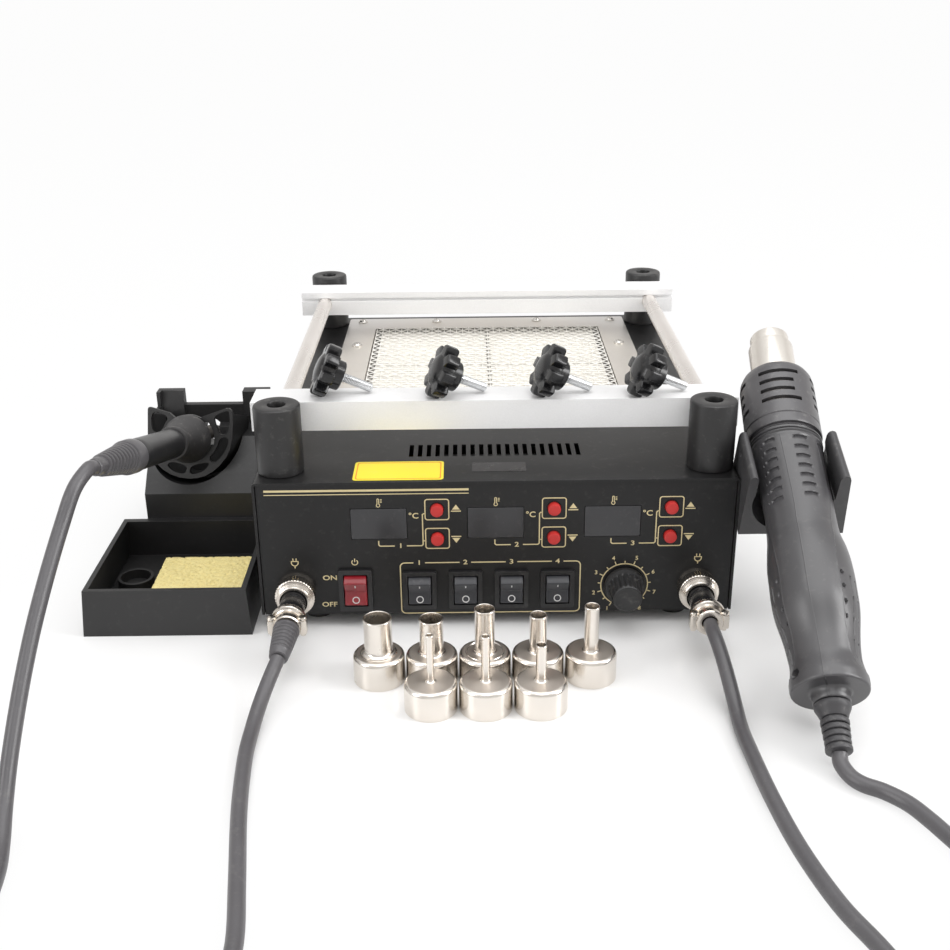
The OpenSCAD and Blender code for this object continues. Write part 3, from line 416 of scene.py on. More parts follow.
iron_lead_length, gun_lead_length, follows = 0.95, 0.90, 0.16
lay_lead("iron_lead", iron_route, "iron", follows, iron_lead_length,
         "iron_lead_upper", "iron_lead_lower", "lead_coils")
lay_lead("gun_lead", gun_route, "gun", follows, gun_lead_length,
         "gun_lead_upper", "gun_lead_lower")


# ---- the case: two folded sheets of 1.2 mm steel, sprayed black with a fine texture ----
# The bottom sheet carries the front and back panels, and the cover laps over them and is
# screwed on at its sides. The cut edges are broken and the folds are rounded.

def final_mesh(piece):
    """The piece with its modifiers worked in, as one plain mesh."""
    seen = piece.evaluated_get(bpy.context.evaluated_depsgraph_get())
    mesh = bpy.data.meshes.new_from_object(seen)
    piece.modifiers.clear()
    piece.data = mesh
    return piece


def softened(piece, width, sharp=30, rounds=2):
    """Breaks the edges of a hard shape by a width in mm."""
    bevel = piece.modifiers.new("broken edge", "BEVEL")
    bevel.width, bevel.segments = width * mm, rounds
    bevel.limit_method, bevel.angle_limit = "ANGLE", math.radians(sharp)
    bevel.harden_normals = False
    final_mesh(piece)
    piece.data.shade_smooth()
    piece.data.set_sharp_from_angle(angle=math.radians(sharp + 5))
    shading = piece.modifiers.new("flat faces stay flat", "WEIGHTED_NORMAL")
    shading.mode, shading.weight, shading.keep_sharp = "FACE_AREA", 100, True
    return final_mesh(piece)


def merged_copy(node):
    """The CAD piece again, with its loose triangles made one skin of flat faces."""
    work = bmesh.new()
    work.from_mesh(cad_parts[node].data)
    bmesh.ops.remove_doubles(work, verts=work.verts, dist=2e-6)
    bmesh.ops.dissolve_limit(work, angle_limit=math.radians(0.3), verts=work.verts,
                             edges=work.edges, delimit={"NORMAL"})
    mesh = bpy.data.meshes.new(node + "_part")
    work.to_mesh(mesh)
    work.free()
    return placed(node + "_part", mesh)


def fit(piece, material, *nodes, body="station", slot=None):
    """Gives a piece its finish and its body, and hides the CAD pieces that it stands for.

    The slot argument is not used.
    """
    piece.data.materials.clear()
    piece.data.materials.append(material)
    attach(piece, body)
    if nodes:
        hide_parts(*nodes)
    return piece


def refined(node, material, width, sharp=30, rounds=2, **place):
    """A CAD piece whose shape is right, with its edges broken."""
    return fit(softened(merged_copy(node), width, sharp, rounds), material, node, **place)


black_paint = finish("black_paint", (0.008, 0.008, 0.0085), (0.014, 0.0137, 0.014),
                     (0.32, 0.42), grain=0.55, depth=0.015, mottle=18, marks=0.08,
                     specular=0.34)
for node in ("chassis", "top_cover"):
    refined(node, black_paint, 0.25)


# ---- the feet: four turned rubber feet with a screw recess, under the bottom sheet ----
# Black rubber. A screw through each recess holds the foot to the sheet.

def tidy(piece, sharp=32):
    """Merges what meets, points every face outwards and shades the round faces smooth."""
    work = bmesh.new()
    work.from_mesh(piece.data)
    bmesh.ops.remove_doubles(work, verts=work.verts, dist=1e-6)
    bmesh.ops.dissolve_degenerate(work, edges=work.edges, dist=1e-7)
    bmesh.ops.recalc_face_normals(work, faces=work.faces)
    work.to_mesh(piece.data)
    work.free()
    piece.data.shade_smooth()
    piece.data.set_sharp_from_angle(angle=math.radians(sharp))
    return piece


def ring_skin(name, rings, tyre=False, sharp=32):
    """A skin over rings of points, closed at its two ends or, as a tyre, on itself."""
    sides, count = len(rings[0]), len(rings)
    points = [p for ring in rings for p in ring]
    faces = [(i * sides + k, i * sides + (k + 1) % sides,
              (i + 1) % count * sides + (k + 1) % sides, (i + 1) % count * sides + k)
             for i in range(count if tyre else count - 1) for k in range(sides)]
    if not tyre:
        faces += [tuple(range(sides)), tuple(range(len(points) - sides, len(points)))]
    return tidy(new_piece(name, points, faces), sharp)


def turned(name, outline, at=(0, 0, 0), way=(0, 0, 1), sides=64):
    """Turns an outline of (radius, height) in mm about an axis. One that ends where it
    starts makes a ring, and one that starts and ends on the axis makes a solid."""
    way = Vector(way).normalized()
    start = Vector((1, 0, 0)) if abs(way.x) < 0.9 else Vector((0, 1, 0))
    side = (start - way * start.dot(way)).normalized()
    other = way.cross(side)
    turns = [2 * math.pi * k / sides for k in range(sides)]
    tyre = outline[0] == outline[-1]
    rings = [[Vector(at) + way * height * mm
              + radius * mm * (math.cos(turn) * side + math.sin(turn) * other)
              for turn in turns] for radius, height in (outline[:-1] if tyre else outline)]
    return ring_skin(name, rings, tyre)


def joined(name, pieces):
    """Several meshes as one piece."""
    with bpy.context.temp_override(active_object=pieces[0], selected_editable_objects=pieces,
                                   selected_objects=pieces):
        bpy.ops.object.join()
    pieces[0].name = pieces[0].data.name = name
    return pieces[0]


def corners_of(box, inset):
    """The four corners of a CAD box, as x and y, each an inset in mm from its sides."""
    low, high = box
    return [(x, y) for x in (low.x + inset * mm, high.x - inset * mm)
            for y in (low.y + inset * mm, high.y - inset * mm)]


feet_rubber = finish("feet_rubber", (0.012, 0.012, 0.012), (0.022, 0.021, 0.021),
                     (0.6, 0.75), grain=0.8, depth=0.03, marks=0.35)
foot_outline = [(0, 2), (2.9, 2), (3, 1.8), (3, 0.3), (3.3, 0), (6.2, 0), (6.7, 0.5), (7, 6.2),
                (6.8, 6.5), (0, 6.5)]
feet = [turned("foot", foot_outline, (x, y, 0)) for x, y in corners_of(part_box("rubber_feet"), 7)]
fit(joined("feet", feet), feet_rubber, "rubber_feet")


# ---- the panel print: gold ink, screened on the black paint ----
# Frames and link lines around the keys, numbers, small signs and a scale for the air dial.
# It is drawn in mm, as x and height.

def ink_line(route, width=0.5, closed=False):
    """A line of ink through points, as one patch for each span, mitred at the corners."""
    count = len(route)
    left, right = [], []
    for i, (x, z) in enumerate(route):
        before = route[i - 1] if i or closed else None
        after = route[(i + 1) % count] if i < count - 1 or closed else None
        a = Vector((x - before[0], z - before[1])).normalized() if before else None
        b = Vector((after[0] - x, after[1] - z)).normalized() if after else None
        a, b = a or b, b or a
        middle = (a + b).normalized()
        side = Vector((-middle.y, middle.x)) * width / 2 / max(middle.dot(b), 0.35)
        left.append((x + side.x, z + side.y))
        right.append((x - side.x, z - side.y))
    spans = [(i, (i + 1) % count) for i in range(count if closed else count - 1)]
    return [[left[i], left[j], right[j], right[i]] for i, j in spans]


def arc(cx, cz, radius, first, last, steps):
    turns = [math.radians(first + (last - first) * k / steps) for k in range(steps + 1)]
    return [(cx + radius * math.cos(turn), cz + radius * math.sin(turn)) for turn in turns]


def rounded_frame(x0, z0, x1, z1, radius, steps=5):
    """A rectangle with round corners, from the middle of its right side round to the left."""
    left, right, low, high = x0 + radius, x1 - radius, z0 + radius, z1 - radius
    return (arc(right, high, radius, 0, 90, steps) + arc(left, high, radius, 90, 180, steps)
            + arc(left, low, radius, 180, 270, steps) + arc(right, low, radius, 270, 360, steps))


def printed(name, shapes, y0, y1):
    """Flat outlines (x, z) in mm, from y0 at the back to y1 in front, in metres."""
    points, faces = [], []
    for shape in shapes:
        first, n = len(points), len(shape)
        points += [(x * mm, y, z * mm) for y in (y1, y0) for x, z in shape]
        faces.append(tuple(first + k for k in range(n)))
        faces.append(tuple(first + n + k for k in reversed(range(n))))
        faces += [(first + k, first + n + k, first + n + (k + 1) % n, first + (k + 1) % n)
                  for k in range(n)]
    piece = new_piece(name, points, faces)
    work = bmesh.new()
    work.from_mesh(piece.data)
    bmesh.ops.recalc_face_normals(work, faces=work.faces)
    work.to_mesh(piece.data)
    work.free()
    return piece


def curve_mesh(name, curve, spot):
    """A text or a flat curve made a mesh and then put in its place."""
    shape = placed(name, curve)
    mesh = bpy.data.meshes.new_from_object(
        shape.evaluated_get(bpy.context.evaluated_depsgraph_get()))
    bpy.data.objects.remove(shape)
    mesh.transform(spot)
    return placed(name, mesh)


def lettered(text, x, z, height, wide=1.25):
    """Plain lettering in gold ink, its middle at (x, z)."""
    curve = bpy.data.curves.new("lettering", "FONT")
    curve.body, curve.size = text, height * mm * 1.38
    curve.align_x, curve.align_y = "CENTER", "CENTER"
    curve.extrude, curve.offset = ink_thick / 2, height * mm * 0.022
    curve.resolution_u = 3
    return curve_mesh("lettering", curve,
                      Matrix.Translation((x * mm, ink_y - ink_thick / 2, z * mm))
                      @ Matrix.Rotation(math.radians(90), 4, "X")
                      @ Matrix.Diagonal((wide, 1, 1, 1)))


def middle_of(node):
    """The middle of a CAD piece's box, in mm."""
    low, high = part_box(node)
    return (low + high) / 2 / mm


gold_ink = finish("gold_ink", (0.64, 0.53, 0.29), (0.76, 0.65, 0.38), (0.42, 0.55),
                  grain=0.3, depth=0.008, marks=0.1, specular=0.4)
ink_y, ink_thick = front.y, 0.035 * mm
window_z, window_h = middle_of("display_windows").z, 14.5
button_at = [(at.x, at.z) for at in (middle_of(f"temp_button_{i}") for i in range(1, 7))]

shapes, letters = [], []
for channel in range(3):
    (x, z), (_, z_low) = button_at[2 * channel:2 * channel + 2]
    for bz in (z, z_low):
        shapes += ink_line(rounded_frame(x - 5.2, bz - 4.9, x + 5.2, bz + 4.9, 1.1), 0.48, True)
    tip = x + 8.3
    for bz, up in ((z + 0.4, 1), (z_low - 0.4, -1)):
        shapes.append([(tip, bz + up * 1.9), (tip - 1.7, bz - up * 0.5),
                       (tip + 1.7, bz - up * 0.5)])
        shapes.append([(tip - 2.2, bz - up), (tip + 2.2, bz - up), (tip + 2.2, bz - up * 1.5),
                       (tip - 2.2, bz - up * 1.5)])
    spine, foot_z = x - 6.4, z - 17.5
    shapes += ink_line([(x - 5.2, z - 1.9), (spine + 0.5, z - 1.9), (spine, z - 2.4),
                        (spine, foot_z + 0.6), (spine - 0.6, foot_z), (x - 13.6, foot_z)])
    shapes += ink_line([(x - 5.2, z_low - 1.1), (spine, z_low - 1.1)])
    shapes += ink_line([(x - 19, foot_z), (x - 25.4, foot_z), (x - 26, foot_z + 0.6),
                        (x - 26, foot_z + 2.6)])
    letters += [lettered(str(channel + 1), x - 16.3, foot_z, 2.3),
                lettered("°C", x - 10.3, z - 3, 2.7, 1.1)]
    bulb_x, bulb_z = x - 25.6, window_z + window_h / 2 + 2.9
    shapes += ink_line(arc(bulb_x, bulb_z - 1.3, 0.75, 60, -240, 14)
                       + arc(bulb_x, bulb_z + 1.5, 0.38, 180, 0, 6), 0.34, True)
    for k in range(3):
        shapes += ink_line([(bulb_x + out, bulb_z + 0.2 + 0.65 * k) for out in (0.9, 1.7)], 0.3)

rocker_x = [middle_of(f"rocker_{i}").x for i in range(1, 5)]
row_top = 31.9
row_frame = rounded_frame(rocker_x[0] - 8.5, 6.4, rocker_x[3] + 10.15, row_top, 2)
top_right, top_left = row_frame[5], row_frame[6]
shapes += ink_line(row_frame[6:] + row_frame[:6])
starts = [top_left[0]] + [x + 2.6 for x in rocker_x]
ends = [x - 2.6 for x in rocker_x] + [top_right[0]]
for a, b in zip(starts, ends):
    shapes += ink_line([(a, row_top), (b, row_top)])
letters += [lettered(str(i), x, row_top, 2.3) for i, x in enumerate(rocker_x, 1)]

power_x = middle_of("power_rocker").x
letters += [lettered("ON", power_x - 11.4, 24.8, 2.4),
            lettered("OFF", power_x - 12.2, 11.3, 2.4, 1.2)]
shapes += ink_line(arc(power_x, 32.5, 1.3, 130, 410, 20), 0.42)
shapes += ink_line([(power_x, 32.7), (power_x, 34.4)], 0.42)

plug_at = [middle_of(side + "_coupling_ring") for side in ("left", "right")]
for at in plug_at:
    x = at.x
    shapes += ink_line(arc(x, 32.6, 1.5, 180, 360, 12) + [(x + 1.5, 33.3), (x - 1.5, 33.3)],
                       0.4, True)
    for prong in (-0.7, 0.7):
        shapes += ink_line([(x + prong, 33.3), (x + prong, 34.8)], 0.4)
    shapes += ink_line([(x, 31.1), (x, 29.9)], 0.4)

dial_at = middle_of("dial_knob")
scale_r, scale_first, scale_step = 10.5, 239, 42.57
shapes += ink_line(arc(dial_at.x, dial_at.z, scale_r, scale_first, scale_first - 7 * scale_step,
                       60), 0.5)
for k in range(15):
    turn = math.radians(scale_first - k * scale_step / 2)
    tick_r = 11.9 if k % 2 else 12.4
    shapes += ink_line([(dial_at.x + r * math.cos(turn), dial_at.z + r * math.sin(turn))
                        for r in (scale_r, tick_r)], 0.45)
    if k % 2 == 0:
        letters.append(lettered(str(k // 2 + 1), dial_at.x + 14.2 * math.cos(turn),
                                dial_at.z + 14.2 * math.sin(turn), 2, 1))

panel_x = front.x / mm
for z, wide in ((67.4, 1), (65.6, 0.4)):
    shapes += ink_line([(panel_x - 101, z), (panel_x - 12, z)], wide)
lines = printed("lines", shapes, ink_y, ink_y - ink_thick)
fit(joined("panel_print", [lines] + letters), gold_ink, slot="black_paint")


# ---- the switches: snap-in rockers, one red with a lamp and four dark, all switched off ----
# The frame snaps into the panel. The lower half is pressed in, so the upper end stands out
# and its end face catches the light.

switch_plastic = finish("switch_plastic", (0.010, 0.010, 0.011), (0.016, 0.016, 0.017),
                        (0.3, 0.42), grain=0.4, depth=0.006, marks=0.12)
rocker_plastic = finish("rocker_plastic", (0.030, 0.031, 0.036), (0.042, 0.043, 0.049),
                        (0.34, 0.42), grain=0.35, depth=0.005, marks=0.1)
red_rocker = finish("red_rocker", (0.19, 0.008, 0.014), (0.3, 0.014, 0.022), (0.14, 0.22),
                    grain=2.2, depth=0.02, mottle=300, marks=0.06)
mark_ink = finish("mark_ink", (0.6, 0.6, 0.6), (0.75, 0.75, 0.74), (0.4, 0.5), grain=0.3,
                  depth=0.004, marks=0.05)
refined("switch_bodies", switch_plastic, 0.3)

rocker_y, rocker_lean, face_back = front.y + 0.6 * mm, math.radians(11), 2.4 * mm


def rocker(node, body, pivot_z, radius, material):
    """The rocker itself and, as one thin piece, the I and O printed on its two faces."""
    refined(node, material, 0.4, rounds=3, body=body)
    slope = math.atan(2.7 / radius)
    stick = [[(-0.24, -0.85), (0.24, -0.85), (0.24, 0.85), (-0.24, 0.85)]]
    ring = ink_line(arc(0, 0, 1.45, 0, 345, 23), 0.42, True)
    marks = []
    for shapes, tilt, up in ((stick, slope, radius * 0.56), (ring, -slope, -radius * 0.52)):
        mark = printed("mark", shapes, 0, -0.04 * mm)
        mark.data.transform(
            Matrix.Translation((middle_of(node).x * mm, rocker_y, pivot_z * mm))
            @ Matrix.Rotation(rocker_lean, 4, "X") @ Matrix.Translation((0, -face_back, 0))
            @ Matrix.Rotation(tilt, 4, "X") @ Matrix.Translation((0, 0, up * mm)))
        marks.append(mark)
    fit(joined(node + "_marks", marks), mark_ink, body=body, slot=material.name)


rocker("power_rocker", "power_switch", 19, 7.6, red_rocker)
for i in range(1, 5):
    rocker(f"rocker_{i}", f"switch_{i}", 18.6, 7, rocker_plastic)


# ---- the keys and windows: six round keys, and smoked windows over the displays ----
# The keys are red plastic and stand through holes in the panel. The windows are dark
# plastic, let into it, and the control board is behind them.

button_red = finish("button_red", (0.5, 0.022, 0.02), (0.58, 0.034, 0.03), (0.38, 0.5),
                    grain=0.35, depth=0.01, marks=0.15)
key_outline = [(0, -4.4), (3.7, -4.4), (3.7, -3.2), (2.8, -3.2), (2.8, 1.9), (2.7, 2.15),
               (2.45, 2.3), (2.1, 2.36), (0, 2.4)]
for i, (x, z) in enumerate(button_at, 1):
    key = turned(f"key_{i}", key_outline, (x * mm, front.y, z * mm), (0, -1, 0), 48)
    fit(key, button_red, f"temp_button_{i}", body=f"button_{i}")

window_plastic = finish("window_plastic", (0.026, 0.026, 0.029), (0.034, 0.034, 0.037),
                        (0.16, 0.26), grain=6, depth=0.05, marks=0.1)
refined("display_windows", window_plastic, 0.2)


def paint(node, material):
    """A CAD piece that keeps its shape gets its finish."""
    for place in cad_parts[node].material_slots:
        place.material = material


board_green = finish("board_green", (0.01, 0.06, 0.03), (0.02, 0.09, 0.045), (0.3, 0.4),
                     grain=1.2, depth=0.02)
paint("control_board", board_green)


# ---- the air dial: one moulded knob, a skirt, eighteen finger flutes and a dished face ----
# Black plastic, pushed on the shaft of the control behind the panel.

def fluted(name, rows, sides, reach, spot, tyre=False):
    """Rings of (size, height, share) in mm about an axis. reach gives the radius at a turn."""
    turns = [2 * math.pi * k / sides for k in range(sides)]
    rings = [[Vector((reach(size, share, turn) * math.cos(turn),
                      reach(size, share, turn) * math.sin(turn), height)) * mm
              for turn in turns] for size, height, share in rows]
    piece = ring_skin(name, rings, tyre)
    piece.data.transform(spot)
    return piece


def on_panel(at):
    """The panel's outer face at a place: what stands up there points out of the panel."""
    return (Matrix.Translation((at.x * mm, front.y, at.z * mm))
            @ Matrix.Rotation(math.radians(90), 4, "X"))


dial_plastic = finish("dial_plastic", (0.014, 0.014, 0.015), (0.022, 0.022, 0.023),
                      (0.34, 0.5), grain=0.5, depth=0.01, marks=0.3)
dial_rows = [(8.6, 0.7, 0), (9, 0.9, 0), (9, 2.6, 0), (8.7, 3.2, 0), (7.6, 3.6, 0.1),
             (7.45, 4.2, 0.55), (6.9, 11.6, 0.5), (6.6, 12.8, 0.3), (6.35, 13.5, 0.05),
             (6, 13.9, 0), (5.5, 14, 0), (5.1, 13.75, 0), (0.4, 13.65, 0)]
air_dial = fluted("air_dial", dial_rows, 216, lambda radius, depth, turn:
                  radius - depth * max(0, math.cos(18 * turn)) ** 1.5, on_panel(dial_at))
fit(air_dial, dial_plastic, "dial_knob", body="dial")


# ---- the sockets and plugs: nickel-plated round connectors, screwed on by a ring ----
# The socket is nutted to the panel. A black shell comes out of the ring, and a plated
# clamp with two screws grips the lead. The left lead has a ribbed sleeve as well.

plug_nickel = finish("plug_nickel", (0.60, 0.55, 0.49), (0.74, 0.69, 0.63), (0.16, 0.26),
                     grain=0.6, depth=0.004, marks=0.2, metal=1.0)
plug_plastic = finish("plug_plastic", (0.008, 0.008, 0.009), (0.013, 0.013, 0.014),
                      (0.18, 0.3), grain=0.6, depth=0.006, marks=0.15)
refined("panel_sockets", plug_nickel, 0.15)
for at in plug_at:
    at.z = plug_at[0].z

# A knurled band, a shoulder and a finely grooved nose.
ring_nose = [(8.35, 8.5), (8.0, 8.7)]
for k in range(4):
    ring_nose += [(out - 0.12 * k, up + 0.62 * k) for out, up in
                  ((7.95, 8.9), (7.6, 9.1), (7.6, 9.25), (7.9, 9.45))]
ring_nose += [(7.3, 11.6), (7.0, 11.8), (6.2, 11.8), (5.95, 11.6), (5.95, 8.2)]
ring_rows = [(7.6, 3.2, 0), (8.7, 3.1, 0), (9, 3.4, 0.12), (9, 7.2, 0.12), (8.8, 7.6, 0),
             (8.4, 7.9, 0)] + [(*step, 0) for step in ring_nose] + [(7.5, 8.15, 0),
                                                                    (7.6, 3.3, 0)]
for side, at in zip(("left", "right"), plug_at):
    ring = fluted(side + "_ring", ring_rows, 240, lambda radius, depth, turn:
                  radius - depth * (1 + math.cos(40 * turn)), on_panel(at), tyre=True)
    fit(ring, plug_nickel, side + "_coupling_ring", body=side + "_ring")


def slab(name, at, across, deep, up, axes=((1, 0, 0), (0, 1, 0), (0, 0, 1))):
    """A block between two distances in mm from a point, along each of three axes."""
    x, y, z = (Vector(axis) for axis in axes)
    corners = [at + mm * (a * x + b * y + c * z) for a in across for b in deep for c in up]
    return tidy(new_piece(name, corners, [(0, 1, 3, 2), (4, 6, 7, 5), (0, 4, 5, 1),
                                          (2, 3, 7, 6), (0, 2, 6, 4), (1, 5, 7, 3)]))


plug_shell = [(0, 7.0), (4.9, 7.2), (5.5, 7.4), (6.5, 7.6), (6.6, 8.8), (5.5, 9.2),
              (5.5, 14.2), (5.35, 14.5), (5.5, 14.8), (5.5, 21.6), (6.3, 22), (6.3, 25.4),
              (6.0, 25.9), (0, 25.9)]
clamp_collar = [(3.2, 25.9), (6.9, 25.8), (7.5, 26.2), (7.8, 27), (7.8, 28.4), (7.5, 28.9),
                (6.6, 29.1), (6.1, 29.6), (6.0, 33.6), (5.6, 34.2), (4.6, 34.4), (3.6, 34.3),
                (3.15, 33.8), (3.15, 26.2), (3.2, 25.9)]
clamp_screw = [(0, -4.6), (1.2, -4.5), (1.25, 3.2), (2.0, 3.3), (2.0, 3.9), (1.7, 4.4),
               (0.9, 4.6), (0, 4.6)]


def plug(side, place):
    at = Vector((place.x * mm, front.y, place.z * mm))
    shell = turned(side + "_plug", plug_shell, at, (0, -1, 0), 72)
    fit(shell, plug_plastic, "plug_bodies")
    clamp = [turned("collar", clamp_collar, at, (0, -1, 0), 72)]
    for ear_x in (-6.5, 6.5):
        ear = slab("ear", at, (ear_x - 1.9, ear_x + 1.9), (-33.6, -29.4), (-3.3, 3.3))
        clamp += [softened(ear, 0.7), turned("screw", clamp_screw,
                                             at + Vector((ear_x, -31.5, 0)) * mm, sides=32)]
    fit(joined(side + "_clamp", clamp), plug_nickel, "plug_bodies")


for side, at in zip(("left", "right"), plug_at):
    plug(side, at)


def ribbed(length, first, last, ribs, depth, margin):
    """Outline of a soft sleeve that narrows and has round ribs."""
    outline, rib = [], (length - 2 * margin) / ribs
    for k in range(ribs):
        for share, out in ((0.0, 0), (0.12, 0.75), (0.3, 1), (0.5, 1), (0.62, 0.75), (0.72, 0)):
            along_it = margin + (k + share) * rib
            radius = first + (last - first) * along_it / length
            outline.append((radius + depth * out, along_it))
    return outline


sleeve_way = Vector((-0.0849, -0.9707, -0.225))
sleeve_outline = ([(0, 0), (5.0, 0), (5.7, 0.4), (5.7, 1.6)]
                  + ribbed(17.6, 5.3, 3.7, 7, 0.45, 2.2)[:-1]
                  + [(4.1, 16.6), (3.9, 17.3), (3.3, 17.6), (0, 17.6)])
sleeve_at = (plug_at[0].x * mm, front.y - 34.3 * mm, plug_at[0].z * mm)
fit(turned("left_sleeve", sleeve_outline, sleeve_at, sleeve_way, 64), lead_rubber,
    "plug_bodies", slot="plug_plastic")


# ---- the preheater: a steel frame and a woven wire mesh over four white emitter tiles ----
# The frame is brushed stainless sheet, a little straw coloured by heat at the opening.

def parts_of(node):
    """The separate solids of a CAD piece, each as its own mesh, the widest first."""
    whole = merged_copy(node)
    work = bmesh.new()
    work.from_mesh(whole.data)
    bpy.data.objects.remove(whole)
    seen, parts = set(), []
    for first in work.verts:
        if first in seen:
            continue
        group, edge = {first}, [first]
        while edge:
            found = {v for link in edge.pop().link_edges for v in link.verts} - group
            group |= found
            edge += found
        seen |= group
        order = {v: k for k, v in enumerate(group)}
        faces = [[order[v] for v in face.verts]
                 for face in {face for v in group for face in v.link_faces}]
        parts.append(tidy(new_piece(node + "_solid", [v.co.copy() for v in order], faces)))
    work.free()
    return sorted(parts, key=lambda part: -max(part.dimensions))


def heat_tint(material, centre, reach):
    """A straw tint towards the opening, where the sheet has been hot."""
    tree = material.node_tree
    shader = tree.nodes["Principled BSDF"]
    tone = shader.inputs["Base Color"].links[0].from_socket
    where = add(tree, "ShaderNodeTexCoord").outputs["Object"]
    apart = add(tree, "ShaderNodeVectorMath", {0: where, 1: centre}, operation="DISTANCE")
    near = ranged(tree, apart.outputs["Value"], reach, reach * 0.72, 0, 0.35)
    straw = mixed(tree, near, tone, (0.98, 0.9, 0.76, 1), "MULTIPLY")
    feed(tree, shader, {"Base Color": straw})


plate_steel = finish("plate_steel", (0.66, 0.64, 0.62), (0.76, 0.74, 0.72), (0.34, 0.46),
                     grain=1.5, depth=0.004, mottle=30, marks=0.2, metal=0.7)
plate_at, plate_top = middle_of("heater_plate"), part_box("heater_plate")[1].z
heat_tint(plate_steel, (front.x, plate_at.y * mm, plate_top), 110 * mm)
refined("heater_plate", plate_steel, 0.2)
screw_steel = finish("screw_steel", (0.62, 0.60, 0.57), (0.78, 0.76, 0.72), (0.14, 0.26),
                     grain=0.7, depth=0.006, marks=0.2, metal=1.0)
refined("plate_screws", screw_steel, 0.15, sharp=25)


def woven_mesh(side, wires, thick, material):
    """Plain weave: each wire goes over one and under the next, by one tree of nodes."""
    tree, given, made = node_group(
        "woven_mesh", "GeometryNodeTree",
        {"Geometry": "Geometry", "Side": "Float", "Wire": "Float", "Wires": "Int"},
        {"Geometry": "Geometry"})

    def part(kind, inputs={}):
        return add(tree, kind, inputs).outputs[0]

    def vector(**sides):
        return part("ShaderNodeCombineXYZ", sides)

    spans = sums(tree, "SUBTRACT", given["Wires"], 1)
    pitch = sums(tree, "DIVIDE", given["Side"], spans)
    half = sums(tree, "DIVIDE", given["Side"], 2)
    start = sums(tree, "MULTIPLY", half, -1)
    line = part("GeometryNodeCurvePrimitiveLine", {"Start": vector(X=start),
                                                   "End": vector(X=half)})
    points = sums(tree, "ADD", sums(tree, "MULTIPLY", spans, 4), 1)
    steps = part("GeometryNodeResampleCurve", {"Curve": line, "Count": points})
    where = part("ShaderNodeSeparateXYZ", {0: part("GeometryNodeInputPosition")})
    passed = sums(tree, "DIVIDE", sums(tree, "ADD", where, half), pitch)
    swing = sums(tree, "COSINE", sums(tree, "MULTIPLY", passed, math.pi))
    rise = vector(Z=sums(tree, "MULTIPLY", swing, given["Wire"]))
    wave = part("GeometryNodeSetPosition", {"Geometry": steps, "Offset": rise})
    ring = part("GeometryNodeCurvePrimitiveCircle", {"Resolution": 6, "Radius": given["Wire"]})
    wire = part("GeometryNodeCurveToMesh", {"Curve": wave, "Profile Curve": ring,
                                            "Fill Caps": True})
    both = add(tree, "GeometryNodeJoinGeometry")
    for crossing in (0, 1):
        row = part("GeometryNodeMeshLine", {"Count": given["Wires"], "Offset": vector(Y=pitch),
                                            "Start Location": vector(Y=start)})
        index = sums(tree, "ADD", part("GeometryNodeInputIndex"), crossing)
        roll = vector(X=sums(tree, "MULTIPLY", sums(tree, "MODULO", index, 2), math.pi))
        copies = part("GeometryNodeInstanceOnPoints", {"Points": row, "Instance": wire,
                                                       "Rotation": roll})
        turned_row = part("GeometryNodeTransform", {"Geometry": copies,
                                                    "Rotation": (0, 0, crossing * math.pi / 2)})
        feed(tree, both, {0: turned_row})
    real = part("GeometryNodeRealizeInstances", {0: both.outputs[0]})
    dressed = part("GeometryNodeSetMaterial", {"Geometry": real, "Material": material})
    feed(tree, made, {0: dressed})
    piece = new_piece("woven_mesh", [(0, 0, 0)], [])
    weave = piece.modifiers.new("weave", "NODES")
    weave.node_group = tree
    sizes = {"Side": side, "Wires": wires, "Wire": thick / 2}
    for item in tree.interface.items_tree:
        if item.in_out == "INPUT" and item.name in sizes:
            weave[item.identifier] = sizes[item.name]
    return final_mesh(piece)


mesh_wire = finish("mesh_wire", (0.86, 0.84, 0.79), (0.94, 0.92, 0.88), (0.3, 0.42), grain=0.6,
                   depth=0.006, mottle=60, marks=0.2, metal=0.45)
mesh_wires, wire_d = 37, 0.72 * mm
mesh_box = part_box("wire_mesh")
weave = woven_mesh(mesh_box[1].x - mesh_box[0].x - 1.2 * mm, mesh_wires, wire_d, mesh_wire)
weave.data.transform(Matrix.Translation((front.x, middle_of("wire_mesh").y * mm,
                                         plate_top - 0.1 * mm)))
weave.data.shade_smooth()
fit(weave, mesh_wire, "wire_mesh")

heater_ceramic = finish("heater_ceramic", (0.88, 0.86, 0.81), (0.94, 0.925, 0.89), (0.7, 0.85),
                        grain=0.7, depth=0.05, mottle=50, marks=0.2, dust=(0.6, 0.52, 0.4))
pan_steel = finish("pan_steel", (0.5, 0.48, 0.46), (0.62, 0.6, 0.57), (0.34, 0.46), grain=1.2,
                   depth=0.006, marks=0.3, metal=0.9)


def core_and_rest(node, names, core_ease, rest_ease, rounds):
    """The widest solid of a CAD piece, and the others as one piece, with broken edges."""
    core, *rest = parts_of(node)
    core.name = names[0]
    return (softened(core, core_ease),
            joined(names[1], [softened(part, rest_ease, rounds=rounds) for part in rest]))


heater_pan, tiles = core_and_rest("ceramic_heater", ("heater_pan", "emitter_tiles"), 0.2, 0.4, 2)
fit(heater_pan, pan_steel, "ceramic_heater", slot="heater_ceramic")
fit(tiles, heater_ceramic, "ceramic_heater")


# ---- the board clamp: four turned posts, two ground rods and two blasted rails ----
# The rails slide on the rods. Each has a ledge on its inner face for the board's edge.

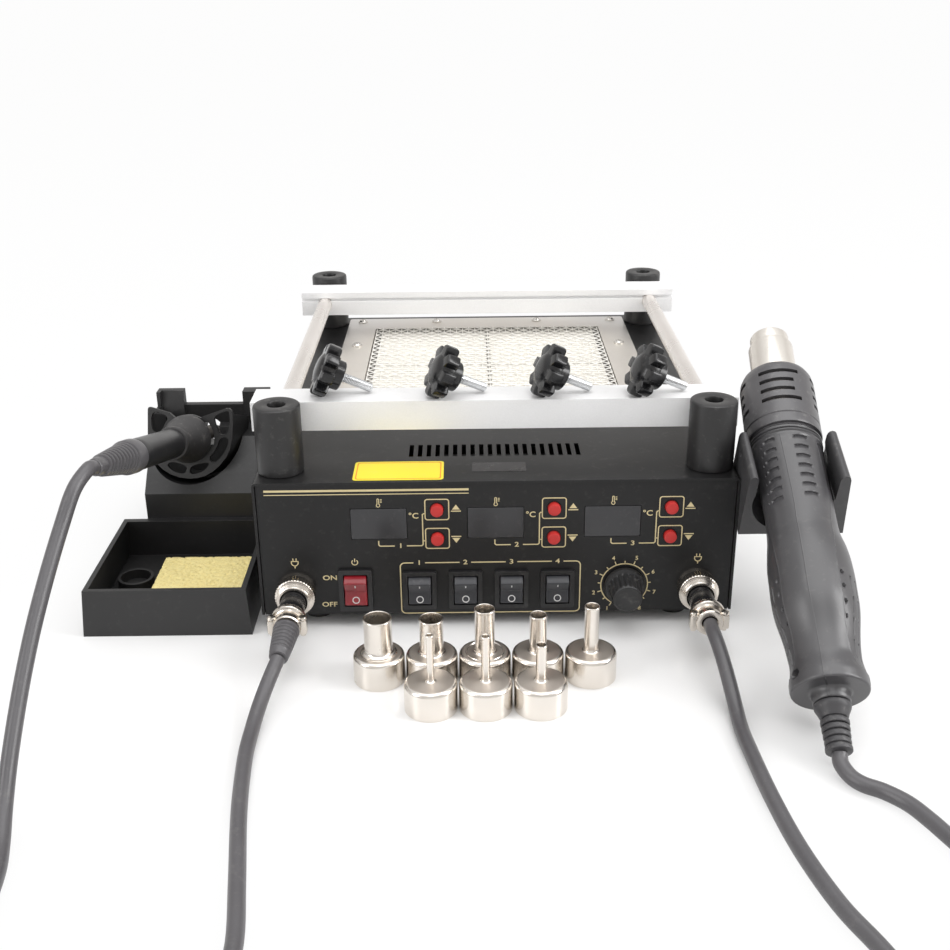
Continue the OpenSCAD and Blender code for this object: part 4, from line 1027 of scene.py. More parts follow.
post_plastic = finish("post_plastic", (0.013, 0.0125, 0.013), (0.02, 0.0195, 0.02),
                      (0.33, 0.45), grain=1.1, depth=0.012, mottle=60, marks=0.2)
post_box, post_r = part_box("corner_posts"), 10.3
post_h = (post_box[1].z - post_box[0].z) / mm
post_outline = [(0, 0), (9.9, 0), (post_r, 0.4), (post_r, post_h - 1.3), (10.1, post_h - 0.5),
                (9.6, post_h - 0.1), (9.1, post_h), (4.7, post_h), (4.1, post_h - 0.25),
                (3.9, post_h - 0.8), (3.9, post_h - 5), (0, post_h - 5)]
posts = [turned("post", post_outline, (x, y, post_box[0].z), sides=96)
         for x, y in corners_of(post_box, post_r)]
fit(joined("posts", posts), post_plastic, "corner_posts")

rod_steel = finish("rod_steel", (0.72, 0.68, 0.64), (0.84, 0.8, 0.77), (0.22, 0.34), grain=0.5,
                   depth=0.003, mottle=30, marks=0.1, metal=0.7)
rod_box, rod_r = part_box("guide_rods"), 4
rod_near, rod_far = rod_box[0].y / mm, rod_box[1].y / mm
rod_outline = [(0, rod_near), (rod_r - 0.3, rod_near), (rod_r, rod_near + 0.3),
               (rod_r, rod_far - 0.3), (rod_r - 0.3, rod_far), (0, rod_far)]
rods = [turned("rod", rod_outline, (x, 0, middle_of("guide_rods").z * mm), (0, 1, 0))
        for x in (rod_box[0].x + rod_r * mm, rod_box[1].x - rod_r * mm)]
fit(joined("rods", rods), rod_steel, "guide_rods")

rail_aluminium = finish("rail_aluminium", (0.84, 0.84, 0.845), (0.93, 0.93, 0.93), (0.5, 0.62),
                        grain=0.35, depth=0.045, mottle=1500, marks=0.12, metal=0.3,
                        dust=(0.5, 0.49, 0.48))
for end in ("front", "back"):
    refined(end + "_rail", rail_aluminium, 0.35, body=end + "_clamp")


# ---- the clamp knobs: black star knobs, moulded on a zinc-plated M4 stud ----
# They lie loose on the front rail, each on its rim and the tip of its stud.

knob_plastic = finish("knob_plastic", (0.007, 0.007, 0.008), (0.012, 0.012, 0.013),
                      (0.16, 0.27), grain=1.6, depth=0.02, marks=0.12)
stud_zinc = finish("stud_zinc", (0.6, 0.61, 0.62), (0.76, 0.77, 0.78), (0.2, 0.3), grain=0.6,
                   depth=0.006, marks=0.15, metal=1.0)
knob_r, knob_waist, lobe_r, hub_top = 12.1, 8.6, 2.9, 10.5
stud_r, stud_long, half_lobe = 2.2, 14.7, 22.5
knob_drop = (knob_r - lobe_r) * math.cos(math.radians(half_lobe)) + lobe_r
knob_tilt = math.atan((knob_drop - stud_r) / 19.2)
knob_z = (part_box("front_rail")[1].z / mm + knob_drop * math.cos(knob_tilt)
          + 6 * math.sin(knob_tilt) + 0.05)
knob_rows = [(0.3, -2, 0), (2.6, -1.95, 0), (4.6, -1.6, 0), (6.2, -1.0, 0), (7.2, -0.3, 0),
             (0.9, -0.25, 1), (0.965, 0.0, 1), (1.0, 0.6, 1), (1.0, 5.2, 1), (0.975, 5.8, 1),
             (0.93, 6, 1), (7.4, 6.0, 0), (6.9, 6.3, 0), (6.7, 10.0, 0), (6.3, 10.4, 0),
             (2.3, hub_top, 0), (0.3, hub_top, 0)]


def star_reach(size, star, turn):
    """A radius of the knob: round, or a share of its eight square lobes with soft corners."""
    off = abs(math.degrees(turn) % (2 * half_lobe) - half_lobe)
    lobe = knob_waist + (knob_r - knob_waist) * (1 - eased_step((off - 10.2) / 6.5))
    return size * lobe if star else size


def threaded(length, radius, pitch, depth):
    """Outline of a screw thread, turned as close rings."""
    outline, at, root = [(0, 0), (radius - depth, 0)], 0.4, radius - depth
    while at < length - 0.6:
        outline += [(root, at), (radius, at + pitch * 0.35), (radius, at + pitch * 0.5),
                    (root, at + pitch * 0.85)]
        at += pitch
    return outline + [(root, length - 0.4), (radius - 0.6, length), (0, length)]


knobs, studs = [], []
for x, y, yaw in ((-77.5, 33.8, 8), (-25.7, 29.6, 16), (21.3, 29.6, 14), (64.1, 28.4, 15.5)):
    spot = (Matrix.Translation(front + Vector((x, y, knob_z)) * mm)
            @ Matrix.Rotation(math.radians(yaw), 4, "Z")
            @ Matrix.Rotation(math.radians(90) + knob_tilt, 4, "Y"))
    knobs.append(fluted("knob", knob_rows, 128, star_reach,
                        spot @ Matrix.Rotation(math.radians(half_lobe), 4, "Z")))
    stud = turned("stud", threaded(stud_long, 2.1, 0.7, 0.16), (0, 0, hub_top * mm), sides=32)
    stud.data.transform(spot)
    studs.append(stud)
fit(joined("star_knobs", knobs), knob_plastic, "clamp_knobs", body="front_clamp")
fit(joined("knob_studs", studs), stud_zinc, "clamp_knobs", body="front_clamp",
    slot="screw_steel")


# ---- the iron stand: a moulded tray and body with a sponge, and a funnel for the iron ----
# Black glass-filled nylon with a fine spark texture. The funnel is a moulding of its own.

stand_plastic = finish("stand_plastic", (0.013, 0.013, 0.0135), (0.024, 0.0235, 0.024),
                       (0.4, 0.52), grain=0.75, depth=0.02, mottle=30, marks=0.05)
refined("stand_base", stand_plastic, 0.7, rounds=3)

iron_up = (Vector((0, 0, 1)) - iron_way * iron_way.z).normalized()
iron_axes = Matrix((iron_up.cross(iron_way), iron_up, iron_way)).transposed()
iron_frame = Matrix.Translation(iron_at) @ iron_axes.to_4x4()


def eased_corners(points, rounds=2):
    """A closed outline with its corners cut off, and cut off again."""
    for _ in range(rounds):
        cut = []
        for (ax, ay), (bx, by) in zip(points, points[1:] + points[:1]):
            cut += [(ax * 0.75 + bx * 0.25, ay * 0.75 + by * 0.25),
                    (ax * 0.25 + bx * 0.75, ay * 0.25 + by * 0.75)]
        points = cut
    return points


def pierced_plate(name, outline, holes, z0, z1):
    """A flat plate across the iron, with holes. Points are mm to the right and up."""
    curve = bpy.data.curves.new(name, "CURVE")
    curve.dimensions, curve.fill_mode = "2D", "BOTH"
    curve.extrude = (z1 - z0) / 2 * mm
    for points in [outline] + holes:
        line = curve.splines.new("POLY")
        line.points.add(len(points) - 1)
        for point, (x, y) in zip(line.points, points):
            point.co = (x * mm, y * mm, 0, 1)
        line.use_cyclic_u = True
    spot = iron_frame @ Matrix.Translation((0, 0, (z0 + z1) / 2 * mm))
    return tidy(curve_mesh(name, curve, spot))


funnel_rim = [(22.3, 12.6), (22.5, 8.2), (22.1, 1.1), (20.8, -5.1), (18.7, -9.3),
              (15.3, -13.4), (11.9, -16.4), (8.2, -18.6), (4, -19.9), (0, -20.3), (-5, -19.9),
              (-9.8, -18.4), (-13.8, -16), (-17.2, -12.8), (-19.6, -8.4), (-20.8, -4),
              (-21.2, 0.5), (-21, 12.8)]
plate_top_edge = ([(-20.9, 14.4), (-20.4, 15.1), (-19.6, 15.1), (-9.8, 12.5), (-7.6, 10.6)]
                  + arc(0, 0, 11.9, 124, 64, 10)
                  + [(6.3, 10.4), (7, 11.1), (18.6, 15.4), (20.4, 15.5), (21.6, 14.6)])
grip_gap = arc(0, 0, 12.9, -12, 42, 9) + arc(0, 0, 10.3, 48, 342, 49)
plate_holes = [
    [(12.4, 10.6), (15.8, 13), (20, 14.4), (20.7, 13.2), (20.9, 7.2), (19.6, 2.6), (15.9, 2),
     (14.5, 4.5)],
    [(15.6, 0.3), (18.6, 1.3), (20.4, -0.2), (19.4, -4), (17.2, -8), (13.2, -12),
     (10.6, -11.4), (10.2, -9), (12.4, -7), (14.4, -3.6)],
    [(-11.6, -13.2), (-8.6, -11.8), (-1.9, -13.6), (-1.2, -15.6), (-2.6, -18.1),
     (-7.4, -17.3), (-10.6, -15.2)],
    [(0.5, -13.7), (9.6, -11.6), (10.2, -12.9), (7.8, -15.9), (3.6, -17.8), (-0.2, -18)],
    [(-19.4, -0.4), (-14.4, -0.9), (-12.8, -6.4), (-12.2, -10.4), (-15.6, -12.4),
     (-18.4, -7)],
    [(-19.3, 14.2), (-19.2, 2.4), (-14.6, 2), (-12.6, 6.4), (-10, 10.8)]]


def funnel_wall(front_z, back_z, thick):
    """The wall that runs back from the plate, wider at the back and open at the top."""
    rings = []
    for x, y in funnel_rim:
        ring = []
        for z, inset in ((front_z, 0), (front_z, thick), (back_z, thick), (back_z, 0)):
            wider, lower = (1, 0) if z == front_z else (1.045, 3.2)
            size = wider - inset / math.hypot(x, y)
            drop = lower if y > 10 else 0
            ring.append(iron_frame @ (Vector((x * size, y * size - drop, z)) * mm))
        rings.append(ring)
    return ring_skin("funnel_wall", rings)


front_plate = pierced_plate("funnel_plate", funnel_rim + plate_top_edge,
                            [grip_gap] + [eased_corners(hole) for hole in plate_holes], -2.1, 0)
funnel = [softened(part, 0.3, sharp=50) for part in (front_plate, funnel_wall(-2, -25.5, 1.7))]
fit(joined("stand_funnel_shell", funnel), stand_plastic, "stand_funnel")

sponge_cellulose = finish("sponge_cellulose", (0.92, 0.75, 0.29), (0.98, 0.87, 0.45),
                          (0.85, 0.95), grain=1.6, depth=0.35, mottle=700, marks=0.7,
                          dust=(0.42, 0.24, 0.05), marks_size=620, specular=0.2)


def sponge_pad():
    """A cut cellulose pad: a flat skin with open pores and soft, slightly rough edges."""
    low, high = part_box("sponge")
    cells = across, deep, up = 74, 74, 8
    size, middle = high - low, (low + high) / 2
    work, grid = bmesh.new(), {}
    for i in range(across + 1):
        for j in range(deep + 1):
            for k in range(up + 1):
                if not (0 < i < across and 0 < j < deep and 0 < k < up):
                    grid[i, j, k] = work.verts.new((low.x + size.x * i / across,
                                                    low.y + size.y * j / deep,
                                                    low.z + size.z * k / up))
    for axis, last in enumerate(cells):
        first_side, second_side = (n for other, n in enumerate(cells) if other != axis)
        for end in (0, last):
            for a in range(first_side):
                for b in range(second_side):
                    keys = [[a, b], [a + 1, b], [a + 1, b + 1], [a, b + 1]]
                    for key in keys:
                        key.insert(axis, end)
                    work.faces.new([grid[tuple(key)] for key in keys])
    for (i, j, k), v in grid.items():
        at_edge = min(i, across - i, j, deep - j) == 0
        inward = (Vector((middle.x, middle.y, v.co.z)) - v.co).normalized()
        rough = noise.noise(v.co * 420) * 0.35 * mm + noise.noise(v.co * 1500) * 0.2 * mm
        if at_edge:
            v.co += inward * (0.35 * mm + abs(rough) + (0.5 * mm if k in (0, up) else 0))
        if k == up:
            pore = max(0, noise.noise(v.co * 900 + Vector((7, 3, 1))) - 0.12)
            v.co.z -= pore * 1.4 * mm + (0.25 * mm if at_edge else 0)
    mesh = bpy.data.meshes.new("sponge_pad")
    work.to_mesh(mesh)
    work.free()
    return tidy(placed("sponge_pad", mesh), 180)


pad = fit(sponge_pad(), sponge_cellulose, "sponge", body="pad")


# ---- the iron: a soft flared grip on a smooth handle, and a ribbed boot on its lead ----
# The handle runs through the grip to the barrel, and the boot is pushed over its end.

grip_rubber = finish("grip_rubber", (0.028, 0.027, 0.028), (0.042, 0.040, 0.041), (0.5, 0.62),
                     grain=0.45, depth=0.02, mottle=70, marks=0.35)
handle_plastic = finish("handle_plastic", (0.017, 0.017, 0.018), (0.026, 0.026, 0.028),
                        (0.3, 0.4), grain=0.5, depth=0.006, marks=0.12)
burnt_steel = finish("burnt_steel", (0.12, 0.105, 0.09), (0.2, 0.18, 0.16), (0.4, 0.55),
                     grain=0.6, depth=0.006, marks=0.3, metal=0.8)
grip = [(6.0, 0.4), (9.6, 0.4), (10.9, 0.55), (11.7, 1.1), (12, 2.0), (12, 3.6), (11.75, 5.2),
        (11.2, 7.2), (10.4, 10), (9.5, 13.2), (8.8, 16.4), (8.35, 19.6), (8.2, 20.6),
        (8.1, 21), (7.95, 21.6), (8.05, 22.2), (8.1, 25.2), (7.9, 25.8), (7.4, 26), (6, 26),
        (6.0, 0.4)]
handle = [(0, 0), (5.95, 0), (5.95, 26.05), (6.6, 26.1), (7.0, 26.5), (7.05, 30), (7.2, 70),
          (7.2, 75.4), (7.0, 75.9), (6.6, 76.1), (0, 76.1)]
boot = [(0, 76.3), (7.0, 76.3), (7.6, 76.6), (7.7, 77.4), (7.6, 84.2), (7.2, 85), (6.4, 85.3)]
for k in range(9):
    at, r = 86.0 + 2.9 * k, 6.9 - 0.27 * k
    boot += [(r - 0.95, at), (r - 0.15, at + 0.25), (r, at + 0.7), (r, at + 1.2),
             (r - 0.15, at + 1.65), (r - 0.95, at + 1.9)]
boot += [(3.9, 112.4), (3.75, 116.6), (3.5, 117.6), (3.1, 118), (0, 118)]
for name, outline, sides, material, node in (
        ("soft_grip", grip, 96, grip_rubber, "iron_grip"),
        ("smooth_handle", handle, 96, handle_plastic, "iron_handle"),
        ("iron_boot_ribs", boot, 72, lead_rubber, "iron_boot")):
    fit(turned(name, outline, iron_at, iron_way, sides), material, node, body="iron")
paint("iron_barrel", burnt_steel)


# ---- the hot air gun: two moulded halves of grey plastic, screwed together ----
# The halves meet in a seam down the middle. The handle swells at the hand, has a ribbed
# panel let into each side, two rows of scooped vents and a hang hole near its end.

gun_down = gun_side.cross(gun_way)

handle_at = [3, 10, 16, 23, 32, 41, 49, 57, 63, 70, 81, 98, 119.4]
handle_r = [15.1, 14.95, 15.35, 16.05, 17.05, 17.4, 17.4, 17.1, 16.35, 15.15, 14.7, 14.9, 15.9]
handle_off = [3.6, 3.45, 3.3, 3.25, 3.05, 2.85, 2.85, 2.65, 2.5, 2.1, 2.05, 1.2, 0]
gun_aside, butt_z, mouth_z = 3.6, -5.9, 119.4
seam_at, panel_middle = 160, 250
panel_half = [(3.9, 0), (4.2, 14), (4.6, 24), (5.4, 32), (9, 35), (14.5, 38), (22, 41),
              (29.5, 43), (37, 45), (45, 46), (51, 45), (60, 41), (70, 31), (77, 25), (82, 20),
              (95, 20), (108, 24), (111.8, 27), (112.6, 20), (113, 0)]
panel_depth = [(66, 0.8), (84, 0.5), (112, 0.4)]
vents = [113.4 - 4.9 * i for i in range(7)]
ring_grooves = (119.1, 117.5, 115.9)


def read_off(table, z):
    """A value from a table of (station, value), straight between its entries."""
    if z <= table[0][0]:
        return table[0][1]
    for (z0, a), (z1, b) in zip(table, table[1:]):
        if z <= z1:
            return a + (b - a) * (z - z0) / (z1 - z0)
    return table[-1][1]


def flowing(stations, values, z):
    """A value between stations on a curve that has no kinks."""
    z = min(max(z, stations[0]), stations[-1])
    i = max(k for k in range(len(stations) - 1) if stations[k] <= z)
    slopes = []
    for k in (i, i + 1):
        low, high = max(k - 1, 0), min(k + 1, len(stations) - 1)
        slopes.append((values[high] - values[low]) / (stations[high] - stations[low]))
    step = stations[i + 1] - stations[i]
    t = (z - stations[i]) / step
    return ((1 + 2 * t) * (1 - t) ** 2 * values[i] + t * (1 - t) ** 2 * step * slopes[0]
            + t * t * (3 - 2 * t) * values[i + 1] + t * t * (t - 1) * step * slopes[1])


def turn_between(a, b):
    """How far it is round from b to a, in degrees, from -180 to 180."""
    return (a - b + 180) % 360 - 180


def from_seam(degrees):
    """How far it is to the nearer of the two seams, in degrees."""
    return min(abs(turn_between(degrees, seam)) for seam in (seam_at, seam_at + 180))


def dip(distance, width, soft):
    """1 inside a width, 0 outside it, with an eased edge."""
    return 1 - eased_step((distance - width) / soft + 0.5)


def panel_relief(z, degrees, per_degree):
    """One side's panel: let in, with a raised rim, four round dimples and rows of ribs."""
    off_middle = turn_between(degrees, panel_middle)
    half = read_off(panel_half, z)
    edge = (half - abs(off_middle)) * per_degree
    depth = read_off(panel_depth, z)
    if edge > 0:
        depth *= 1 - 0.7 * (edge / (half * per_degree)) ** 1.5
    out = -depth * eased_step((edge + 0.1) / 0.6)
    if edge > -0.9:
        out += 0.14 * dip(abs(edge + 0.35), 0.25, 0.5)
    if edge > 0 and 8 < z < 50:
        for at in (44.8, 38.5, 31.8, 25.7):
            away = math.hypot((off_middle + 38.5) * per_degree, z - at)
            out -= 1.3 * (1 if z > at - 0.2 else 0.45) * dip(away, 0.85, 0.35)
        for column, start in ((-21.5, 44.2), (-8.5, 43.6), (8.5, 44.2), (21.5, 43.6),
                              (34, 44.2)):
            across = (off_middle - column) * per_degree
            for row in range(4):
                top = start - 9.2 * row
                past = max(z - top, top - 6.6 - z, 0)
                out -= 0.7 * dip(math.hypot(across, past), 0.38, 0.3)
                out -= 0.9 * dip(math.hypot(across, z - top), 0.55, 0.3)
    return out


def vent_relief(z, degrees, per_degree):
    """The scooped vents in rows, and the small dimples beside them."""
    out = 0
    for row, top in enumerate(vents):
        if top - 2.6 < z < top + 0.6:
            lean = row / 6
            for middle, half in ((191.2, 11.9), (139.5 - 7.5 * lean, 9.7 + 1.2 * lean),
                                 (seam_at + 149, 11.9), (seam_at + 208, 10.5)):
                across = abs(turn_between(degrees, middle)) / half
                up = z - top + 0.35 * across ** 2
                fall = max(0, 1 + up / 2.1) if up <= 0 else 1 - eased_step(up / 0.22)
                half *= per_degree
                out -= 0.85 * fall * dip(across * half, half, 0.35)
        away = math.hypot(turn_between(degrees, 124 - 1.5 * row) * per_degree,
                          z - 111.1 + 4.65 * row)
        out -= 0.45 * dip(away, 0.42, 0.25)
    return out


def handle_relief(z, degrees, radius):
    """How far the moulded detail stands in or out of the plain handle, in mm."""
    per_degree = math.radians(radius)
    out = vent_relief(z, degrees, per_degree)
    if z < 114:
        out += 0.09 * dip(from_seam(degrees) * per_degree, 0.08, 0.3)
    if z > 113.9:
        out += 0.15 * eased_step((z - 113.9) / 0.3)
        out -= 0.65 * max(dip(abs(z - at), 0.3, 0.35) for at in ring_grooves)
    for here in (degrees, 2 * (seam_at + 2) - degrees):
        out += panel_relief(z, here, per_degree)
    top_side = 0.5 + 0.5 * math.cos(math.radians(degrees - seam_at))
    out -= 1.7 * top_side * (eased_step((z - 2) / 10) - eased_step((z - 17) / 20))
    hang_hole = math.hypot(turn_between(degrees, 112) * per_degree / 2.3, (z - 3.7) / 1.75)
    return out - 3.2 * dip(hang_hole, 1, 0.12)


def gun_handle():
    """The handle as a close grid round its axis, with its mouldings pressed into it."""
    columns = sorted({1.5 * k for k in range(240)} | {44.75 + 1.5 * k for k in range(30)}
                     | {273.75 + 1.5 * k for k in range(32)}
                     | {(seam + off) % 360 for seam in (0, 180)
                        for off in (-0.9, -0.45, 0.45, 0.9)})
    butt = [(6.9, butt_z), (7.15, -5.75), (7.3, -5.4), (7.4, -4), (7.5, -2.6), (7.75, -2),
            (8.2, -1.62), (8.8, -1.5), (9.2, -1.5), (11.5, -1.5), (14.2, -1.5),
            (14.35, -1.5), (14.6, -1.46), (14.9, -1.25), (15.05, -0.9), (15.1, -0.5)]
    heights = [0, 0.7, 1.3, 1.8]
    z = 2.1
    while z < mouth_z - 0.05:
        heights.append(z)
        z += 0.35 if z < 5.8 or z > 113.6 else 0.52 if z < 46 else 0.8
    heights += [top + off for top in vents for off in (-2.3, -2.1, -1.5, -0.95, -0.5, -0.22,
                                                       -0.06, 0.04, 0.14, 0.26)]
    kept = [0]
    for z in sorted(heights):
        if z - kept[-1] > 0.07:
            kept.append(z)

    def point(up, radius, degrees, aside):
        turn = math.radians(degrees)
        return gun_at + mm * (up * gun_way + radius * math.cos(turn) * gun_down
                              + (radius * math.sin(turn) - aside) * gun_side)

    rings = [[point(butt_z, 0, 0, gun_aside)] * len(columns)]
    for radius, z in butt:
        grooves = [0.3 * dip(math.radians(from_seam(seam_at + column)) * radius, 0.1, 0.3)
                   for column in columns]
        rings.append([point(z + groove, radius, seam_at + column, gun_aside)
                      for column, groove in zip(columns, grooves)])
    for z in kept + [mouth_z]:
        plain, aside = flowing(handle_at, handle_r, z), flowing(handle_at, handle_off, z)
        rings.append([point(z, plain + handle_relief(z, seam_at + column, plain),
                            seam_at + column, aside) for column in columns])
    rings.append([point(mouth_z, 0, 0, 0)] * len(columns))
    return ring_skin("gun_handle", rings, sharp=40)


gun_plastic = finish("gun_plastic", (0.046, 0.045, 0.048), (0.066, 0.064, 0.068),
                     (0.28, 0.38), grain=0.32, depth=0.008, mottle=30, marks=0.1,
                     specular=0.75)
fit(gun_handle(), gun_plastic, "gun_shell", body="gun")


# ---- the gun's collar, air tube, motor and fan ----
# The slotted collar is pushed over the handle and keeps fingers off the steel tube, whose
# mouth is rolled in. A wire heater on a ceramic core sits in the tube, with mica between.

collar_plastic = finish("collar_plastic", (0.062, 0.060, 0.064), (0.085, 0.082, 0.087),
                        (0.3, 0.4), grain=0.32, depth=0.009, mottle=26, marks=0.25,
                        specular=0.75)
refined("gun_collar", collar_plastic, 0.16, sharp=40, body="gun", slot="gun_plastic")

tube_steel = finish("tube_steel", (0.7, 0.66, 0.6), (0.78, 0.74, 0.69), (0.24, 0.34),
                    grain=0.9, depth=0.004, mottle=35, marks=0.15, metal=0.75)
core_ceramic = finish("core_ceramic", (0.62, 0.58, 0.52), (0.72, 0.69, 0.62), (0.6, 0.75),
                      grain=0.3, depth=0.01, marks=0.2)
heater_wire = finish("heater_wire", (0.3, 0.27, 0.24), (0.42, 0.39, 0.35), (0.35, 0.5),
                     grain=0.5, depth=0.005, metal=0.9)
mica = finish("mica", (0.42, 0.33, 0.22), (0.55, 0.46, 0.33), (0.3, 0.45), grain=0.6,
              depth=0.006)
air_tube = turned("air_tube", [
    (9.3, 121), (9.9, 121), (9.9, 127.9), (14.2, 128), (14.4, 128.2), (14.4, 130.8),
    (14.2, 131), (9.95, 131.1), (9.95, 159.6), (10.2, 159.9), (10.2, 176.2), (10.05, 176.7),
    (9.6, 177), (9.15, 177.15), (8.95, 177.5), (8.9, 178.6), (8.9, 182.6), (8.75, 183.1),
    (8.5, 183.3), (8.25, 183.1), (8.1, 182.6), (8.1, 176.4), (8.3, 175.6), (9.2, 175.3),
    (9.3, 174.8), (9.3, 121)], gun_at, gun_way, 96)
fit(air_tube, tube_steel, "gun_tube", body="gun", slot="barrel_steel")

core = turned("core", [(3, 132.2), (3.2, 132), (3.8, 132), (4, 132.2), (4, 171.8), (3.8, 172),
                       (3.2, 172), (3, 171.8), (3, 132.2)], gun_at, gun_way, 40)
coil_first, coil_turns, coil_pitch, coil_r, coil_steps = 134, 12, 2.4, 5.6, 24
coil_route = []
for step in range(coil_turns * coil_steps + 1):
    turn = 2 * math.pi * step / coil_steps
    coil_route.append(gun_at + mm * ((coil_first + coil_pitch * step / coil_steps) * gun_way
                                     + coil_r * math.cos(turn) * gun_down
                                     + coil_r * math.sin(turn) * gun_side))
coil = tube("heater_coil", coil_route, 0.3 * mm, 8)
plates = []
for k in range(6):
    turn = math.radians(60 * k + 30)
    out = math.cos(turn) * gun_down + math.sin(turn) * gun_side
    plates.append(slab("mica_plate", gun_at, (134, 164), (6.1, 9.2), (-0.2, 0.2),
                       (gun_way, out, gun_way.cross(out))))
for piece, material in ((core, core_ceramic), (coil, heater_wire),
                        (joined("mica_plates", plates), mica)):
    fit(piece, material, body="gun", slot="barrel_steel")

motor_steel = finish("motor_steel", (0.36, 0.36, 0.37), (0.46, 0.46, 0.47), (0.3, 0.42),
                     grain=0.4, depth=0.006, metal=0.85)
fan_plastic = finish("fan_plastic", (0.03, 0.03, 0.031), (0.045, 0.045, 0.046), (0.45, 0.6),
                     grain=0.4, depth=0.01)
paint("gun_motor", motor_steel)
paint("gun_fan", fan_plastic)


# ---- the gun's boot: soft rubber with five bands, moulded on the lead ----
# Its stem is pushed up into the handle's end, and the lead comes out of its last band.

boot_rubber = finish("boot_rubber", (0.038, 0.037, 0.04), (0.056, 0.054, 0.058), (0.38, 0.5),
                     grain=0.5, depth=0.01, marks=0.35)
outline = [(0, 2.6), (4.1, 2.6), (4.1, -6.1), (6.5, -6.2), (7.05, -6.5), (7.15, -7.2),
           (7, -8.1), (6.5, -9.2), (5.9, -10.4), (5.5, -11.5), (5.2, -12.1), (4.6, -12.4)]
for band in range(5):
    top, r = -12.85 - 2.65 * band, 5.5 - 0.15 * band + (0.25 if band == 4 else 0)
    outline += [(4.5, top), (r - 0.35, top - 0.02), (r - 0.08, top - 0.25), (r, top - 0.7),
                (r, top - 1.5), (r - 0.08, top - 1.9), (r - 0.35, top - 2.15),
                (4.4, top - 2.2)]
outline += [(3.9, -25.9), (0, -26)]
gun_boot = turned("gun_boot", outline, gun_at - gun_aside * mm * gun_side, gun_way)
fit(gun_boot, boot_rubber, "gun_boot", body="gun", slot="grip_rubber")


# ---- the cradle: one moulded block with a round trough, screwed to the case's side ----
# The gun only lies in the trough. The block has the same fine texture as the handle.

holder_plastic = finish("holder_plastic", (0.042, 0.041, 0.043), (0.06, 0.059, 0.062),
                        (0.38, 0.5), grain=0.3, depth=0.01, marks=0.25)
refined("gun_holder", holder_plastic, 0.5, sharp=40, rounds=3, slot="stand_plastic")


# ---- the loose nozzles: thin nickel-plated steel cups, each drawn up into a spout ----
# They stand on their open rims on the bench. The shoulder is pressed round and the end of
# the spout is rolled. The top face is satin, with painted shade that greys its colour, and
# the cup's wall is bright.

nozzle_nickel = finish("nozzle_nickel", (0.72, 0.67, 0.61), (0.82, 0.78, 0.73), (0.2, 0.28),
                       grain=0.9, depth=0.0012, mottle=120, marks=0.12, metal=1.0,
                       dust=(0.36, 0.33, 0.3), marks_size=900)


def satin_top(material):
    """The faces that look up are duller, and painted shade makes their colour greyer than the
    bright walls.
    """
    tree = material.node_tree
    shader = tree.nodes["Principled BSDF"]
    rough, tone = (shader.inputs[name].links[0].from_socket
                   for name in ("Roughness", "Base Color"))
    normal = add(tree, "ShaderNodeNewGeometry").outputs["True Normal"]
    up = add(tree, "ShaderNodeSeparateXYZ", {0: normal}).outputs["Z"]
    # Painted shade: the colour of the faces that look up is multiplied by grey.
    painted_shade_grey = mixed(tree, ranged(tree, up, 0.9, 1), tone, (0.76, 0.73, 0.71, 1), "MULTIPLY")
    duller = sums(tree, "ADD", rough, ranged(tree, up, 0.9, 1, 0, 0.16))
    feed(tree, shader, {"Roughness": duller, "Base Color": painted_shade_grey})


satin_top(nozzle_nickel)
cup_r, cup_wall, cup_top, cup_bend = 10.85, 0.5, 12.7, 1.9
spout_r = (5.9, 5, 4.2, 3.6, 3.05, 1.45, 1.75, 2.15)


def nozzle_outline(m, h, step, ring):
    """Cup, shoulder and spout of radius m, up to height h, outside first and then inside."""
    bend_r, bend_z, inner = cup_r - cup_bend, cup_top - cup_bend, cup_r - cup_wall
    outline = [(inner, 0.15), (inner + 0.12, 0), (cup_r - 0.12, 0), (cup_r, 0.15),
               (cup_r, bend_z)] + arc(bend_r, bend_z, cup_bend, 0, 90, 8)[1:]
    if ring:
        outline += [(ring + 0.5, cup_top), (ring + 0.3, cup_top + 0.25),
                    (ring - 0.1, cup_top + 0.3), (ring - 0.4, cup_top)]
    foot = cup_top
    if step:
        outline += [(m + step, foot), (m + step - 0.1, foot + 0.7),
                    (m + step - 0.4, foot + 0.95)]
        foot += 0.95
    outline += [(m + out, foot + up) for out, up in (
        (1.1, 0), (0.65, 0.12), (0.3, 0.45), (0.08, 0.95), (0, 1.5))]
    outline += [(m + out, h - down) for out, down in (
        (0, 1.3), (0.04, 1), (0.16, 0.75), (0.18, 0.3), (0.02, 0.06), (-0.16, 0),
        (-0.34, 0.1), (-0.42, 0.4))]
    outline += [(m + out, foot + up) for out, up in (
        (-0.42, 0.9), (-0.2, 0.1), (0.3, -0.4), (0.9, -0.55))]
    return (outline + arc(bend_r, bend_z, cup_bend - cup_wall, 90, 0, 8)[:-1]
            + [(inner, bend_z), (inner, 0.15)])


for i, m in enumerate(spout_r, 1):
    node = f"nozzle_{i}"
    at, (low, high) = middle_of(node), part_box(node)
    outline = nozzle_outline(m, (high.z - low.z) / mm, 1.5 if i == 1 else 0,
                             7.7 if i == 3 else 0)
    nozzle = turned(f"spout_{i}", outline, (at.x * mm, at.y * mm, low.z), sides=96)
    fit(nozzle, nozzle_nickel, node, body="loose_" + node)


# ---- inside and behind: the mains transformer and the three-pin inlet ----
# The transformer is a stack of steel sheets with taped windings, screwed to the floor of
# the case. The inlet snaps into the back panel and has nickel-plated pins.

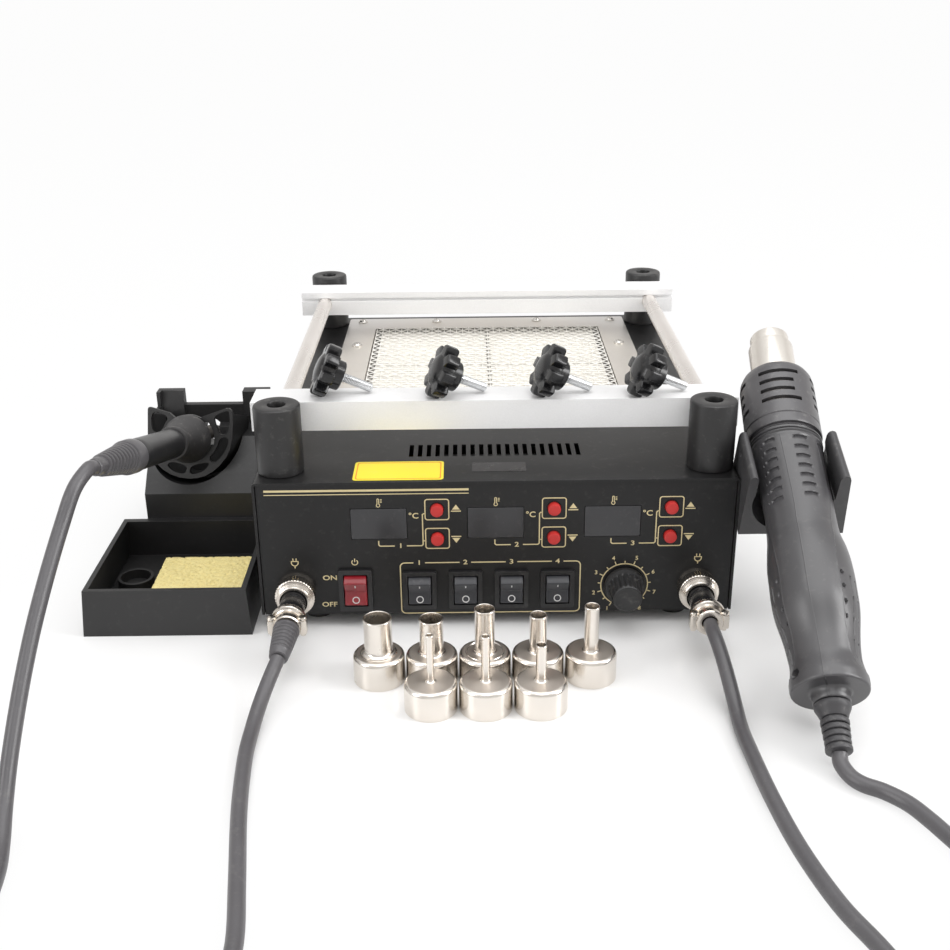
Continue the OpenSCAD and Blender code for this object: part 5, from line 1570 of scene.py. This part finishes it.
core_steel = finish("core_steel", (0.10, 0.095, 0.09), (0.2, 0.19, 0.18), (0.45, 0.6),
                    grain=0.5, depth=0.02, marks=0.3, metal=0.7)
winding_tape = finish("winding_tape", (0.62, 0.42, 0.06), (0.75, 0.55, 0.1), (0.25, 0.4),
                      grain=2.5, depth=0.03, marks=0.2)
stack, windings = core_and_rest("transformer", ("transformer_core", "transformer_windings"),
                                0.3, 1.6, 3)
fit(stack, core_steel, "transformer")
fit(windings, winding_tape, "transformer", slot="core_steel")

refined("mains_inlet", switch_plastic, 0.3)
inlet, inlet_back = middle_of("mains_inlet"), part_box("mains_inlet")[1].y
pins = [softened(slab("pin", Vector(((inlet.x + x) * mm, inlet_back, (inlet.z + z) * mm)),
                      (-1.04, 1.04), (-16.1, -1), (-2.04, 2.04)), 0.4)
        for x, z in ((-7, -1.5), (0, 2.5), (7, -1.5))]
fit(joined("inlet_pins", pins), nozzle_nickel, slot="switch_plastic")


# ---- the cover's labels: one of yellow vinyl with an orange border, one of clear film ----
# Both are stuck on the ledge of the cover, in front of the slots.

def sticker(name, x0, y0, x1, y1, z0, z1, radius, frame_w=0):
    """A flat plate with round corners, in mm from the middle of the panel, or a frame."""
    ring = rounded_frame(x0, y0, x1, y1, radius, 6)
    loops = [[(x, y, z) for x, y in ring] for z in (z0, z1)]
    if frame_w:
        ring = rounded_frame(x0 + frame_w, y0 + frame_w, x1 - frame_w, y1 - frame_w, radius, 6)
        loops += [[(x, y, z) for x, y in ring] for z in (z1, z0)]
    rings = [[front + Vector(p) * mm for p in loop] for loop in loops]
    return ring_skin(name, rings, tyre=bool(frame_w))


label_yellow = finish("label_yellow", (0.84, 0.68, 0.03), (0.89, 0.75, 0.05), (0.3, 0.42),
                      grain=1.4, depth=0.01, marks=0.12)
border_orange = finish("border_orange", (0.72, 0.2, 0.015), (0.8, 0.26, 0.02), (0.35, 0.45),
                       grain=0.6, depth=0.005, marks=0.15)
clear_film = finish("clear_film", (0.02, 0.019, 0.02), (0.03, 0.029, 0.03), (0.22, 0.34),
                    grain=1.2, depth=0.015, marks=0.2)
ledge = 71.5
for name, material, *flat, low, high, radius, frame_w in (
        ("cover_label", label_yellow, -62.5, 1.3, -22.9, 22.1, -0.05, 0.12, 1.8, 0),
        ("label_border", border_orange, -61.4, 2.4, -24, 21, 0.1, 0.14, 1.2, 0.5),
        ("clear_label", clear_film, -10.4, 9.7, 13.5, 20, -0.05, 0.08, 0.6, 0)):
    fit(sticker(name, *flat, ledge + low, ledge + high, radius, frame_w), material,
        slot="black_paint")
